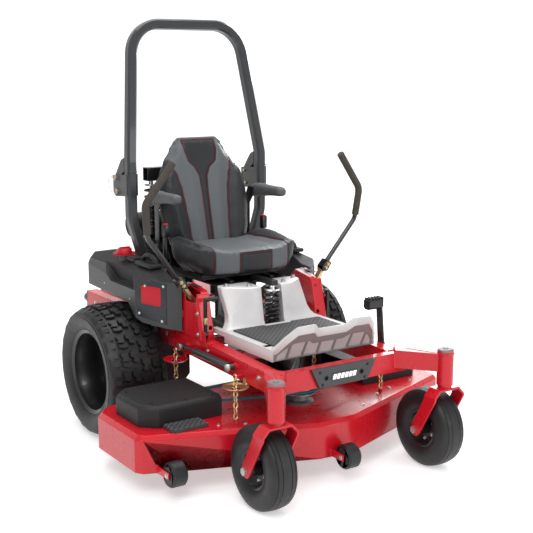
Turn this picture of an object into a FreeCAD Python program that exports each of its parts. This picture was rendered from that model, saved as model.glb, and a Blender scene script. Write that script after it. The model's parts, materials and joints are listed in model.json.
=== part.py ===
"""Zero turn mower: parametric FreeCAD model in millimetres, +Z up, front towards -Y, origin on the
ground under the middle of the machine. Left is the operator's left, which is +X."""
import FreeCAD, Part
import math
import os
import Sketcher

Vector = FreeCAD.Vector
Rotation = FreeCAD.Rotation

# Driving sizes. Every one is a plain number in millimetres or degrees.
SIZES = {
    # drive wheels
    "rear_axle_y": 234, "drive_wheel_x": 505.5, "drive_tyre_radius": 300, "drive_tyre_width": 283,
    "drive_rim_radius": 178, "drive_rim_half": 120, "rim_flange": 12, "rim_lip": 6, "rim_wall": 5,
    "tyre_wall": 13, "tread_depth": 14, "lug_count": 20, "lug_long": 62, "lug_gap": 10,
    "dish_x": -45, "dish_thick": 7, "axle_radius": 18, "hub_radius": 44, "hub_long": 40,
    "nut_circle": 57, "nut_radius": 10, "nut_high": 16, "nut_count": 5,
    # casters
    "caster_x": 417, "caster_y": -952, "caster_trail": 84, "caster_tyre_radius": 165,
    "caster_tyre_width": 120, "caster_rim_radius": 76, "caster_axle_radius": 9.5, "fork_plate": 10,
    "fork_side_gap": 12, "fork_top_gap": 17, "fork_deep": 66, "stem_radius": 19,
    "pivot_tube_radius": 34, "pivot_tube_low": 367, "pivot_tube_high": 509, "cap_thick": 9,
    # main frame
    "rail_inner": 268, "rail_wide": 60, "rail_rear": 900, "rail_front": -766, "rail_bend": 134,
    "rail_top": 520, "rail_low": 430, "rail_front_top": 487, "rail_front_low": 407, "frame_wall": 4,
    "beam_deep": 40, "beam_low": 405, "arm_low": 424, "arm_high": 500, "arm_wide": 52,
    "cross_low": 410, "cross_high": 450, "cross_deep": 50,
    # lamp panel
    "lamp_top_half": 160, "lamp_low_half": 120, "lamp_thick": 14, "lens_half": 62, "lens_low": 431,
    "lens_high": 458, "lens_proud": 3, "lamp_hole": 8,
    # roll bar
    "bar_wide": 46, "bar_deep": 50, "bar_round": 9, "bar_wall": 4, "hoop_x": 351, "hoop_y": 325,
    "hinge_gap": 2, "hinge_break": 1174, "hoop_kink": 1235, "hoop_corner_x": 281, "hoop_corner_y": 422,
    "hoop_corner_z": 1838, "hoop_bend": 150, "post_x": 298, "post_bend_high": 960,
    "post_bend_low": 780, "post_bend": 130, "cheek_thick": 6, "hinge_back": 79, "hinge_z": 1081,
    "hinge_bolt": 8, "lock_back": 91, "lock_z": 1142, "lock_pin": 6, "shock_shelf": 844,
    # towers and levers
    "tower_inner": 268, "tower_wide": 64, "tower_front": -272, "tower_rear": -42, "tower_high": 728,
    "tower_wall": 4, "lever_y": -175, "lever_pivot_z": 650, "lever_pivot": 8, "stub_x": 306,
    "stub_thick": 14, "stub_deep": 30, "knuckle_x": 367, "knuckle_z": 732, "knuckle_radius": 11,
    "knuckle_pin": 5,
    "lever_radius": 11, "grip_radius": 16, "lever_low_x": 538, "lever_low_z": 955,
    "lever_bend_x": 552, "lever_bend_z": 1095, "lever_top_x": 430, "lever_top_z": 1259,
    "lever_rake": 45, "lever_curve": 60, "grip_start": 0.12, "grip_over": 0.012,
    # fenders
    "fender_inner": 338, "fender_nose": 388, "fender_outer": 480, "fender_front": -120,
    "fender_rear": 680, "fender_low": 520, "tail_low": 622, "fender_high": 782, "fender_wall": 5,
    "recess_x": 424, "cap_radius": 34, "cap_x": 380, "cap_y": 345, "cap_low": 800,
    # suspended platform and seat
    "ride_travel": 45, "pan_half": 258, "pan_front": -694, "pan_rear": -230, "pan_low": 530,
    "pan_high": 552, "lip_high": 617, "cover_high": 716, "cover_front": -432, "cover_rear": -176,
    "cover_wall": 6, "shock_bay": 50, "mat_thick": 6, "spine_x": 150, "spine_wide": 40,
    "spine_high": 28, "tube_wall": 3, "pan_wall": 4, "seat_plate": 712, "plate_thick": 6, "seat_travel": 60,
    "runner_x": 96, "runner_wide": 20, "runner_high": 12, "riser_y": 372, "riser_deep": 34, "yoke_low": 1122,
    "yoke_high": 1184, "yoke_half": 240, "front_shock_y": -307, "front_shock_low": 488,
    "rear_shock_x": 212, "rear_shock_y": 395, "rear_shock_low": 858,
    "damper_radius": 19, "rod_radius": 8, "coil_radius": 29, "coil_wire": 5, "coil_turns": 7,
    "cushion_half": 290, "cushion_front": -170, "cushion_low": 748,
    "cushion_high": 896, "cushion_gap": 7, "cushion_clear": 5, "back_foot_y": 172, "back_low": 806,
    "back_high": 1333, "back_half": 243,
    "back_thick": 95, "back_lean": 13, "arm_rest_y": 242, "arm_rest_z": 1062,
    "arm_rest_long": 300, "arm_rest_wide": 56, "arm_rest_pin": 9,
    # deck
    "deck_half": 775, "deck_nose": -824, "corner_cut": 20, "deck_corner_y": -541,
    "deck_rear": -91, "deck_low": 100, "deck_high": 250, "deck_wall": 5, "nose_half": 90,
    "spindle_x": 500, "spindle_y": -356, "centre_spindle_y": -511, "blade_long": 500,
    "blade_wide": 64, "blade_thick": 6, "blade_z": 138, "shaft_radius": 12.5, "housing_radius": 62,
    "housing_high": 290, "pulley_radius": 70, "groove_radius": 60, "groove_low": 301,
    "groove_high": 313, "belt_thick": 8, "cover_top": 336, "cover_inner_x": 366,
    "cover_outer_x": 716, "cover_front_y": -486, "cover_rear_y": -166, "cover_skin": 4,
    "roller_radius": 50, "roller_wide": 66, "roller_bore": 8, "roller_z": 116, "corner_roller_x": 668,
    "corner_roller_y": -638,
    "pad_x": 560, "pad_y": -532, "pad_long": 160, "pad_wide": 84, "pad_high": 16,
    # lift gear
    "chain_x": 372, "front_chain_y": -600, "rear_chain_y": -112, "chain_wire": 3.5, "chain_top": 455,
    "link_long": 30, "link_wide": 24, "link_count": 8, "disc_radius": 54, "disc_hole": 20,
    "strut_x": 352, "strut_rear_y": -146, "strut_front_y": -536, "strut_z": 462, "strut_radius": 15,
    "strut_bolt": 6,
    "pedal_y": -636, "pedal_z": 478, "pedal_high": 180, "pedal_lean": 18, "pedal_pin": 8,
    "brake_x": 326, "brake_y": -292, "brake_z": 540, "lock_lever_x": 352, "lock_lever_y": -232,
    "lock_lever_long": 180,
    # engine and drives
    "engine_y": 640, "engine_radius": 168, "crankcase_low": 524, "shroud_low": 660,
    "shroud_high": 800, "filter_x": -110, "filter_y": 574, "filter_high": 950, "filter_radius": 58,
    "filter_long": 250, "guard_rear": 1033,
    "guard_radius": 21, "guard_z": 470, "hitch_half": 50, "hitch_deep": 96, "hitch_thick": 10,
    "hitch_bore": 10, "clutch_radius": 80, "clutch_low": 330,
    "hydro_inner": 150, "hydro_outer": 330, "hydro_low": 205, "hydro_high": 405, "hydro_deep": 150,
    "engine_shaft": 14,
    # fits
    "running_gap": 0.05, "working_gap": 0.5,
}

doc = FreeCAD.newDocument("ZeroTurnMower")
sheet = doc.addObject("Spreadsheet::Sheet", "Sizes")
for row, (name, value) in enumerate(SIZES.items(), 1):
    sheet.set(f"A{row}", name)
    sheet.set(f"B{row}", str(value))
    sheet.setAlias(f"B{row}", name)
doc.recompute()
NODES = []


# ---------------------------------------------------------------- helpers
def linked(formula):
    """The formula with the sheet's name before each size, as FreeCAD expressions need it."""
    text, word = "", ""
    for letter in str(formula) + " ":
        if letter.isalnum() or letter in "_.":
            word += letter
            continue
        text += ("Sizes." + word if word in SIZES else word) + letter
        word = ""
    return text.strip()


def size(formula):
    """The present value of a formula over the sheet's sizes."""
    return float(sheet.evalExpression(linked(formula)))


def bind(obj, **formulas):
    for prop, formula in formulas.items():
        obj.setExpression(prop, linked(formula))
    return obj


def place(obj, x=0, y=0, z=0, axis=(0, 0, 1), angle=0):
    """Turn an object by an angle about its own origin and move it to a bound place."""
    obj.Placement = FreeCAD.Placement(Vector(0, 0, 0), Rotation(Vector(*axis), size(angle)))
    for key, formula in (("x", x), ("y", y), ("z", z)):
        obj.setExpression("Placement.Base." + key, linked(formula))
    return obj


def keep(obj, node):
    """Name an object as a finished piece of the mower."""
    obj.Label = node
    NODES.append(obj)
    return obj


def box(x, y, z):
    """A block between bound limits, each given as a pair of formulas."""
    obj = bind(doc.addObject("Part::Box", "block"), Length=f"({x[1]})-({x[0]})",
               Width=f"({y[1]})-({y[0]})", Height=f"({z[1]})-({z[0]})")
    return place(obj, x[0], y[0], z[0])


def tube_box(x, y, z, along):
    """A square tube between bound limits, open at both ends along one axis."""
    inner = []
    for name, (low, high) in zip("xyz", (x, y, z)):
        grow = "-1" if name == along else "tube_wall"
        inner.append((f"({low}) + ({grow})", f"({high}) - ({grow})"))
    return cut(box(x, y, z), box(*inner))


def rod(radius, start, length, along="z"):
    """A round bar from a start point, along an axis."""
    turn = {"x": ((0, 1, 0), 90), "y": ((1, 0, 0), -90), "z": ((0, 0, 1), 0)}[along]
    obj = bind(doc.addObject("Part::Cylinder", "rod"), Radius=radius, Height=length)
    return place(obj, *start, axis=turn[0], angle=turn[1])


def fuse(*pieces):
    obj = doc.addObject("Part::MultiFuse", "joined")
    obj.Shapes = list(pieces)
    return obj


def cut(base, *tools):
    obj = doc.addObject("Part::Cut", "cut")
    obj.Base = base
    obj.Tool = tools[0] if len(tools) == 1 else fuse(*tools)
    return obj


def common(first, second):
    obj = doc.addObject("Part::Common", "shared")
    obj.Base, obj.Tool = first, second
    return obj


def mirrored(obj):
    """The same piece on the other side of the middle plane."""
    other = doc.addObject("Part::Mirroring", "other_side")
    other.Source = obj
    other.Normal = (1, 0, 0)
    return other


def group(*pieces):
    obj = doc.addObject("Part::Compound", "pieces")
    obj.Links = list(pieces)
    return obj


def sketch_on(body, plane, points, offset=0):
    """A closed outline on one of the body's own planes, each corner bound to the sheet."""
    sketch = body.newObject("Sketcher::SketchObject", "outline")
    planes = {feature.Role: feature for feature in body.Origin.OriginFeatures}
    sketch.AttachmentSupport = [(planes[plane + "_Plane"], "")]
    sketch.MapMode = "FlatFace"
    sketch.setExpression("AttachmentOffset.Base.z", linked(offset))
    places = [Vector(size(x), size(y), 0) for x, y in points]
    count = len(points)
    for i in range(count):
        sketch.addGeometry(Part.LineSegment(places[i], places[(i + 1) % count]), False)
    for i in range(count):
        sketch.addConstraint(Sketcher.Constraint("Coincident", i, 2, (i + 1) % count, 1))
    for i, corner in enumerate(points):
        for kind, formula in zip(("DistanceX", "DistanceY"), corner):
            rule = Sketcher.Constraint(kind, -1, 1, i, 1, size(formula))
            index = sketch.addConstraint(rule)
            sketch.setExpression(f"Constraints[{index}]", linked(formula))
    return sketch


def padded(plane, points, start, end):
    """A body whose outline on XY, XZ or YZ runs from one bound level to another along the normal."""
    body = doc.addObject("PartDesign::Body", "plate")
    level = f"-({end})" if plane == "XZ" else start
    sketch = sketch_on(body, plane, points, level)
    pad = body.newObject("PartDesign::Pad", "pad")
    pad.Profile = sketch
    bind(pad, Length=f"({end})-({start})")
    return body


def pocket(body, plane, points, start, end):
    """Cut an outline out of a body between two bound levels along the plane's normal."""
    level = f"-({end})" if plane == "XZ" else start
    sketch = sketch_on(body, plane, points, level)
    feature = body.newObject("PartDesign::Pocket", "pocket")
    feature.Profile = sketch
    feature.Reversed = True
    bind(feature, Length=f"({end})-({start})")
    return body


def turned(plane, points, axis="H_Axis"):
    """A body of revolution about the outline's horizontal or vertical axis."""
    body = doc.addObject("PartDesign::Body", "turned")
    sketch = sketch_on(body, plane, points)
    feature = body.newObject("PartDesign::Revolution", "turn")
    feature.Profile = sketch
    feature.ReferenceAxis = (sketch, [axis])
    feature.Angle = 360
    return body


def edges_where(body, chosen):
    doc.recompute()
    return [f"Edge{i}" for i, edge in enumerate(body.Tip.Shape.Edges, 1) if chosen(edge)]


def chamfered(body, length, chosen):
    names = edges_where(body, chosen)
    base = body.Tip
    feature = body.newObject("PartDesign::Chamfer", "bevel")
    feature.Base = (base, names)
    return bind(feature, Size=length) and body


def hollowed(body, wall, open_face):
    """Turn a solid body into a shell, open at the faces that a rule picks out."""
    doc.recompute()
    base = body.Tip
    names = [f"Face{i}" for i, face in enumerate(base.Shape.Faces, 1) if open_face(face)]
    feature = body.newObject("PartDesign::Thickness", "shell")
    feature.Base = (base, names)
    feature.Reversed = True
    feature.Join = "Intersection"
    return bind(feature, Value=wall) and body


def faces_toward(x, y, z):
    """A rule for flat faces whose outward normal is the given direction."""
    def chosen(face):
        return face.normalAt(0, 0).dot(Vector(x, y, z)) > 0.95
    return chosen


def path_of(points, bend):
    """A wire of straight runs with a tangent arc of one radius at each inner point."""
    places = [Vector(size(x), size(y), size(z)) for x, y, z in points]
    edges, start = [], places[0]
    for before, corner, after in zip(places, places[1:], places[2:]):
        into, out = (before - corner).normalize(), (after - corner).normalize()
        half = into.getAngle(out) / 2
        reach = bend / math.tan(half)
        first, last = corner + into * reach, corner + out * reach
        middle = (into + out).normalize() * (bend / math.sin(half) - bend) + corner
        edges.append(Part.LineSegment(start, first).toShape())
        edges.append(Part.Arc(first, middle, last).toShape())
        start = last
    edges.append(Part.LineSegment(start, places[-1]).toShape())
    return Part.Wire(edges)


def swept(points, bend, profile):
    """A bar whose profile wire, drawn round the origin in X and Y, follows a bent path."""
    spine = path_of(points, size(bend))
    way = spine.Edges[0].tangentAt(spine.Edges[0].FirstParameter)
    section = profile.copy()
    section.rotate(Vector(0, 0, 0), *turn_to(way))
    section.translate(spine.Edges[0].valueAt(spine.Edges[0].FirstParameter))
    obj = doc.addObject("Part::Feature", "bent_bar")
    obj.Shape = spine.makePipeShell([section], True, False, 2)
    return obj


def turn_to(way):
    """Axis and angle that turn +Z to a direction."""
    turn = Rotation(Vector(0, 0, 1), way)
    return turn.Axis, math.degrees(turn.Angle)


def twelve_sided(radius):
    """The section of a round bar, drawn with twelve flats."""
    steps = [2*math.pi*index/12 for index in range(13)]
    return Part.makePolygon([Vector(size(radius)*math.cos(step), size(radius)*math.sin(step),
                                    0) for step in steps])


def cut_square(wide, deep, corner):
    """A rectangle round the origin with its corners cut."""
    x, y, c = size(wide) / 2, size(deep) / 2, size(corner)
    spots = [(x, y - c), (x - c, y), (c - x, y), (-x, y - c), (-x, c - y), (c - x, -y), (x - c, -y),
             (x, c - y)]
    return Part.makePolygon([Vector(a, b, 0) for a, b in spots + spots[:1]])


def bar_tube(line, bend):
    """The roll bar's tube along a bent path."""
    outside = swept(line, bend, cut_square("bar_wide", "bar_deep", "bar_round"))
    hollow = cut_square("bar_wide - bar_wall*2", "bar_deep - bar_wall*2", "bar_round - bar_wall")
    return cut(outside, swept(line, bend, hollow))


# ---------------------------------------------------------------- drive wheels
def drive_tyre():
    """Hollow tyre on its own axis, with staggered angled tread blocks over the crown."""
    base = "drive_tyre_radius - tread_depth"
    bead, wide = "drive_rim_half - rim_lip", "drive_tyre_width/2"
    outer = [(bead, "drive_rim_radius"), (bead, "drive_rim_radius + rim_flange + 2"),
             (wide, "drive_tyre_radius - 58"), (f"{wide} - 8", f"{base} - 10"), (f"{wide} - 26", base)]
    inner = [(f"{wide} - 26 - tyre_wall", f"{base} - tyre_wall"),
             (f"{wide} - tyre_wall", "drive_tyre_radius - 60"),
             (f"{bead} - tyre_wall", "drive_rim_radius + rim_flange"),
             (f"{bead} - tyre_wall", "drive_rim_radius")]
    left = [(f"-({x})", r) for x, r in outer]
    left_inner = [(f"-({x})", r) for x, r in inner]
    body = turned("XZ", outer + left[::-1] + left_inner[::-1] + inner)
    half, gap, pitch = "drive_tyre_width/2", "lug_gap/2", "lug_long/2"
    block = [(gap, f"-{pitch}"), (f"{half}*0.45", f"-{pitch} + lug_gap*2"),
             (f"{half} - 16", f"-{pitch} + lug_gap*1.4"),
             (f"{half} - 16", f"{pitch} - lug_gap*0.6"), (f"{half}*0.45", pitch),
             (gap, f"{pitch} - lug_gap*2")]
    for side, turn in ((1, "0"), (-1, "180/lug_count")):
        corners = [(f"{side}*({x})", y) for x, y in block]
        sketch = sketch_on(body, "XY", corners)
        sketch.AttachmentOffset = FreeCAD.Placement(Vector(), Rotation(Vector(1, 0, 0), size(turn)))
        bind(sketch, **{"AttachmentOffset.Base.y": f"-({base} - 6)*sin({turn})",
                        "AttachmentOffset.Base.z": f"({base} - 6)*cos({turn})"})
        lug = body.newObject("PartDesign::Pad", "lug")
        lug.Profile = sketch
        bind(lug, Length=f"sqrt(drive_tyre_radius^2 - ({pitch})^2) - ({base} - 6)")
        row = body.newObject("PartDesign::PolarPattern", "lug_row")
        row.Originals = [lug]
        row.Axis = (body.Origin.OriginFeatures[0], [""])
        row.Angle = 360
        bind(row, Occurrences="lug_count")
        body.Tip = row
    return place(body, "drive_wheel_x", "rear_axle_y", "drive_tyre_radius")


def drive_rim():
    """Deep dished steel wheel: barrel, flanges, disc and hub, with its lug nuts on the disc."""
    half, r, flange = "drive_rim_half", "drive_rim_radius", "drive_rim_radius + rim_flange"
    inside = "drive_rim_radius - rim_wall"
    face = "dish_x + dish_thick"
    outline = [(half, flange), (f"{half} - rim_lip", flange), (f"{half} - rim_lip", r),
               (f"-({half} - rim_lip)", r), (f"-({half} - rim_lip)", flange), (f"-({half})", flange),
               (f"-({half})", inside), ("dish_x", inside), ("dish_x", "hub_radius"),
               ("dish_x - hub_long", "hub_radius"), ("dish_x - hub_long", "axle_radius + running_gap"),
               (face, "axle_radius + running_gap"), (face, "nut_circle + 24"),
               (f"{face} + 22", "nut_circle + 46"), (f"{face} + 22", inside), (half, inside)]
    wheel = turned("XZ", outline)
    nuts = []
    for index in range(int(size("nut_count"))):
        nut = bind(doc.addObject("Part::Prism", "nut"), Circumradius="nut_radius", Height="nut_high + 2")
        turn = f"360/nut_count*{index}"
        place(nut, "dish_x + dish_thick - 2", f"nut_circle*cos({turn})", f"nut_circle*sin({turn})",
              (0, 1, 0), 90)
        nuts.append(nut)
    return place(fuse(wheel, *nuts), "drive_wheel_x", "rear_axle_y", "drive_tyre_radius")


tyre = keep(drive_tyre(), "drive_tyre_left")
keep(mirrored(tyre), "drive_tyre_right")
rim = keep(drive_rim(), "drive_rim_left")
keep(mirrored(rim), "drive_rim_right")


# ---------------------------------------------------------------- casters
CASTER_AXLE = ("caster_x", "caster_y + caster_trail", "caster_tyre_radius")


def caster_tyre():
    wide, r = "caster_tyre_width/2", "caster_tyre_radius"
    outer = [("0.74*" + wide, "caster_rim_radius"), (wide, f"{r} - 58"), (f"0.98*{wide}", f"{r} - 34"),
             (f"0.84*{wide}", f"{r} - 12"), (f"0.5*{wide}", f"{r} - 2"), ("0.14*" + wide, r)]
    left = [(f"-({x})", z) for x, z in outer]
    return place(turned("XZ", outer + left[::-1]), *CASTER_AXLE)


def caster_rim():
    wide, r = "caster_tyre_width/2", "caster_rim_radius"
    side = [(f"0.74*{wide}", r), (f"0.74*{wide}", f"{r} - 8"), (f"0.3*{wide}", f"{r} - 16"),
            (f"0.3*{wide}", "caster_axle_radius + 16"),
            (f"{wide} + fork_side_gap - working_gap", "caster_axle_radius + 12"),
            (f"{wide} + fork_side_gap - working_gap", "caster_axle_radius + running_gap")]
    left = [(f"-({x})", z) for x, z in side]
    return place(turned("XZ", side + left[::-1]), *CASTER_AXLE)


def caster_fork():
    """Folded plate fork on its pivot stem, with the nut and cap that hold it up."""
    inner = "caster_tyre_width/2 + fork_side_gap"
    top = "caster_tyre_radius*2 + fork_top_gap"
    low = "caster_tyre_radius - 26"
    outside = [(f"{inner} + fork_plate", low), (f"{inner} + fork_plate", f"{top} - 22"),
               (f"{inner} - 20", f"{top} + fork_plate"), (f"-({inner} - 20)", f"{top} + fork_plate"),
               (f"-({inner} + fork_plate)", f"{top} - 22"), (f"-({inner} + fork_plate)", low)]
    inside = [(f"-({inner})", low), (f"-({inner})", f"{top} - 26"), (f"-({inner} - 24)", top),
              (f"{inner} - 24", top), (inner, f"{top} - 26"), (inner, low)]
    folded = padded("XZ", outside + inside, "-fork_deep*2", "caster_trail + fork_deep*2")
    side = padded("YZ", [("-fork_deep/2", f"{top} + fork_plate"), ("-fork_deep/2", f"{top} - 34"),
                         ("caster_trail - fork_deep*0.4", "caster_tyre_radius - 12"),
                         ("caster_trail - fork_deep*0.2", low), ("caster_trail + fork_deep*0.2", low),
                         ("caster_trail + fork_deep*0.42", "caster_tyre_radius + 4"),
                         ("fork_deep/2", f"{top} - 34"), ("fork_deep/2", f"{top} + fork_plate")],
                  f"-({inner} + fork_plate*2)", f"{inner} + fork_plate*2")
    shell = common(folded, side)
    seat_z = f"{top} + fork_plate"
    collar = rod("pivot_tube_radius - 6", (0, 0, f"{seat_z} - 3"), f"pivot_tube_low - ({seat_z}) + 3")
    stem = rod("stem_radius", (0, 0, "pivot_tube_low - 1"), "pivot_tube_high - pivot_tube_low + 2")
    cap = rod("pivot_tube_radius - 3", (0, 0, "pivot_tube_high"), "cap_thick")
    hole = rod("caster_axle_radius", (f"-({inner} + fork_plate*2)", "caster_trail", "caster_tyre_radius"),
               f"({inner} + fork_plate*2)*2", "x")
    return place(cut(fuse(shell, collar, stem, cap), hole), "caster_x", "caster_y", 0)


def caster_axle():
    """Axle bolt with its head and nut outside the fork legs."""
    reach = "caster_tyre_width/2 + fork_side_gap + fork_plate"
    shaft = rod("caster_axle_radius", (f"-({reach})", 0, 0), f"({reach})*2", "x")
    head = bind(doc.addObject("Part::Prism", "head"), Circumradius="caster_axle_radius*1.7", Height="11")
    place(head, reach, 0, 0, (0, 1, 0), 90)
    nut = bind(doc.addObject("Part::Prism", "nut"), Circumradius="caster_axle_radius*1.7", Height="11")
    place(nut, f"-({reach}) - 11", 0, 0, (0, 1, 0), 90)
    return place(fuse(shaft, head, nut), *CASTER_AXLE)


for make, node in ((caster_tyre, "caster_tyre"), (caster_rim, "caster_rim"), (caster_fork, "caster_fork"),
                   (caster_axle, "caster_axle")):
    piece = keep(make(), node + "_left")
    keep(mirrored(piece), node + "_right")


# ---------------------------------------------------------------- main frame
def rail():
    """One side member: a box tube that drops a little towards the front, open at the rear."""
    outline = [("rail_rear", "rail_low"), ("rail_rear", "rail_top"), ("rail_bend", "rail_top"),
               ("rail_front", "rail_front_top"), ("rail_front", "rail_front_low"), ("rail_bend", "rail_low")]
    body = padded("YZ", outline, "rail_inner", "rail_inner + rail_wide")
    return hollowed(body, "frame_wall", faces_toward(0, 1, 0))


def front_arm():
    """Arm that carries a pivot tube out and forward from the end of the front beam."""
    back = "rail_front"
    outline = [("rail_inner + 4", f"{back} - beam_deep"), ("rail_inner + rail_wide", f"{back} + 34"),
               ("caster_x + arm_wide/2", "caster_y + 18"), ("caster_x", "caster_y"),
               ("caster_x - arm_wide/2 - 6", "caster_y + 4")]
    arm = padded("XY", outline, "arm_low", "arm_high")
    tube = rod("pivot_tube_radius", ("caster_x", "caster_y", "pivot_tube_low"),
               "pivot_tube_high - pivot_tube_low")
    return fuse(arm, tube)


def lift_disc():
    """Dished guide disc under the rail, with a hole that the front lift chain passes through."""
    top = "rail_front_low - 3"
    outline = [("disc_hole", f"{top} - 12"), ("disc_radius - 14", f"{top} - 12"),
               ("disc_radius", f"{top} - 3"),
               ("disc_radius", top), ("disc_radius - 16", f"{top} - 9"), ("disc_hole", f"{top} - 9")]
    disc = turned("XZ", outline, "V_Axis")
    arm = box(("rail_inner + rail_wide - chain_x - 1", "-disc_radius + 12"), ("-10", "10"),
              (f"{top} - 4", f"{top}"))
    web = box(("rail_inner + rail_wide - chain_x - 6", "rail_inner + rail_wide - chain_x + 2"), ("-10", "10"),
              (f"{top} - 4", "rail_low"))
    return fuse(disc, arm, web)


def side_fittings():
    """What is welded to one rail: strut lugs, pedal pin, lever pin, disc hanger and hydro plate."""
    outside = "rail_inner + rail_wide"
    lugs = [rod("strut_radius", (f"{outside} - 1", y, "strut_z"),
                "strut_x - 12 - rail_inner - rail_wide + 1", "x")
            for y in ("strut_rear_y", "strut_front_y")]
    plate = box(("rail_inner", outside), ("rear_axle_y - 60", "rear_axle_y + 60"),
                ("hydro_high", "rail_low + 1"))
    discs = [place(lift_disc(), "chain_x", y, 0) for y in ("front_chain_y", "rear_chain_y")]
    hooks = [rod("chain_wire", (f"{outside} - 1", y, "chain_top - chain_wire*3 - working_gap"),
                 "chain_x + link_wide/2 - rail_inner - rail_wide", "x") for y in ("front_chain_y",
                                                                                  "rear_chain_y")]
    return [*lugs, plate, *discs, *hooks]


def main_frame():
    beam = cut(box(("-rail_inner - rail_wide", "rail_inner + rail_wide"),
                   ("rail_front - beam_deep", "rail_front"),
                   ("beam_low", "rail_front_top")),
               box(("-rail_inner", "rail_inner"),
                   ("rail_front - beam_deep + frame_wall", "rail_front - frame_wall"),
                   ("beam_low + frame_wall", "rail_front_top - frame_wall")))
    half = [rail(), front_arm()] + side_fittings()
    joined = fuse(*half)
    crosses = [tube_box(("-rail_inner - 1", "rail_inner + 1"), (y, f"{y} + cross_deep"),
                        ("cross_low", "cross_high"), "x")
               for y in ("front_shock_y - cross_deep/2", "lever_y + 120")]
    deck_plate = box(("-rail_inner - 1", "rail_inner + 1"),
                     ("engine_y - engine_radius - 20", "rail_rear - 60"),
                     ("crankcase_low - 8", "crankcase_low"))
    ears = [box((f"{x}", f"{x} + 6"), ("front_shock_y - 16", "front_shock_y + 16"),
                ("cross_high - 1", "front_shock_low + 12")) for x in ("-20", "14")]
    whole = fuse(beam, joined, mirrored(joined), deck_plate, *crosses, *ears, brake_ears(), *pins())
    bores = []
    for side in ("", "-"):
        bores.append(rod("stem_radius + running_gap", (f"{side}caster_x", "caster_y", "pivot_tube_low - 5"),
                         "pivot_tube_high - pivot_tube_low + 10"))
    for y in ("strut_rear_y", "strut_front_y"):
        bores.append(rod("strut_bolt", ("-strut_x", y, "strut_z"), "strut_x - rail_inner - rail_wide", "x"))
    bores.append(rod("hinge_bolt", ("-30", "front_shock_y", "front_shock_low"), 60, "x"))
    bores.append(rod("clutch_radius/2", (0, "engine_y", "crankcase_low - 20"), 30))
    return cut(whole, *bores)


def brake_ears():
    """Two ears on the right rail that carry the parking brake lever."""
    sides = [box((f"-brake_x + {x}", f"-brake_x + {x} + 4"), ("brake_y - 14", "brake_y + 14"),
                 ("rail_front_top + 8", "brake_z + 14")) for x in (-11, 7)]
    foot = box(("-brake_x - 11", "-rail_inner - 10"), ("brake_y - 14", "brake_y + 14"),
               ("rail_front_top + 4", "rail_front_top + 22"))
    return fuse(foot, *sides, rod("pedal_pin", ("-brake_x - 11", "brake_y", "brake_z"), 22, "x"))


def pins():
    """Pivot pins that stand out of the left rail for the lift pedal and the lock lever."""
    outside = "rail_inner + rail_wide"
    pedal = fuse(rod("pedal_pin", (f"{outside} - 2", "pedal_y", "pedal_z"), 26, "x"),
                 rod("pedal_pin + 4", (f"{outside} + 23", "pedal_y", "pedal_z"), 4, "x"))
    lock = rod("pedal_pin", (f"{outside} - 2", "lock_lever_y", "rail_low + 24"),
               f"lock_lever_x + 16 - ({outside})", "x")
    return pedal, lock


keep(main_frame(), "main_frame")


def lamp_panel():
    front = "rail_front - beam_deep"
    body = padded("XZ", [("-lamp_low_half", "beam_low + 2"), ("lamp_low_half", "beam_low + 2"),
                         ("lamp_top_half", "rail_front_top"), ("-lamp_top_half", "rail_front_top")],
                  f"{front} - lamp_thick", front)
    return pocket(body, "XZ", [("-lens_half", "lens_low"), ("lens_half", "lens_low"),
                               ("lens_half", "lens_high"),
                               ("-lens_half", "lens_high")], f"{front} - lamp_thick", front)


front_face = "rail_front - beam_deep"
sockets = [rod("lamp_hole", (f"{side}*(lens_half + 26)", f"{front_face} - lamp_thick - 1", "lens_low + 13"),
               "lamp_thick - 3", "y") for side in (-1, 1)]
keep(cut(lamp_panel(), *sockets), "lamp_panel")
keep(box(("-lens_half", "lens_half"), (f"{front_face} - lamp_thick - lens_proud", front_face),
         ("lens_low", "lens_high")), "lamp_lens")


# ---------------------------------------------------------------- roll bar
def upper_bracket(x):
    """Rear lug of the hoop: turns on the hinge bolt, with an open notch that drops over the lock pin."""
    back = "hoop_y + bar_deep/2"
    pivot_y = "hoop_y + hinge_back"
    outline = [(f"{back} - 4", "hoop_kink + 4"), (f"{back} + 26", "hoop_kink - 8"),
               (f"{pivot_y} + 48", "lock_z - 6"),
               (f"{pivot_y} + 46", "hinge_z - 8"), (f"{pivot_y} + 16", "hinge_z - 20"),
               (f"{pivot_y} - 18", "hinge_z - 16"),
               (f"{pivot_y} - 32", "hinge_z + 6"), (f"{pivot_y} - 32", "lock_z + 20"),
               (f"{back} - 4", "hinge_break + hinge_gap + 4")]
    half = "bar_wide/2 - 0.3"
    lug = padded("YZ", outline, f"{x} - ({half})", f"{x} + {half}")
    end = "hoop_y + lock_back + lock_pin + 1"
    notch = [(f"{back} - 10", "lock_z - 20"), (end, "lock_z - 20"), (end, "lock_z + lock_pin + 1"),
             (f"{back} - 10", "lock_z + lock_pin + 1")]
    pocket(lug, "YZ", notch, f"{x} - ({half})", f"{x} + {half}")
    hole = rod("hinge_bolt + running_gap", (f"{x} - bar_wide", pivot_y, "hinge_z"), "bar_wide*2", "x")
    return cut(lug, hole)


def hoop():
    outline = [("hoop_x", "hoop_y", "hinge_break + hinge_gap"), ("hoop_x", "hoop_y", "hoop_kink"),
               ("hoop_corner_x", "hoop_corner_y", "hoop_corner_z"),
               ("-hoop_corner_x", "hoop_corner_y", "hoop_corner_z"),
               ("-hoop_x", "hoop_y", "hoop_kink"), ("-hoop_x", "hoop_y", "hinge_break + hinge_gap")]
    bar = bar_tube(outline, "hoop_bend")
    return fuse(bar, upper_bracket("hoop_x"), upper_bracket("-hoop_x"))


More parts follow.
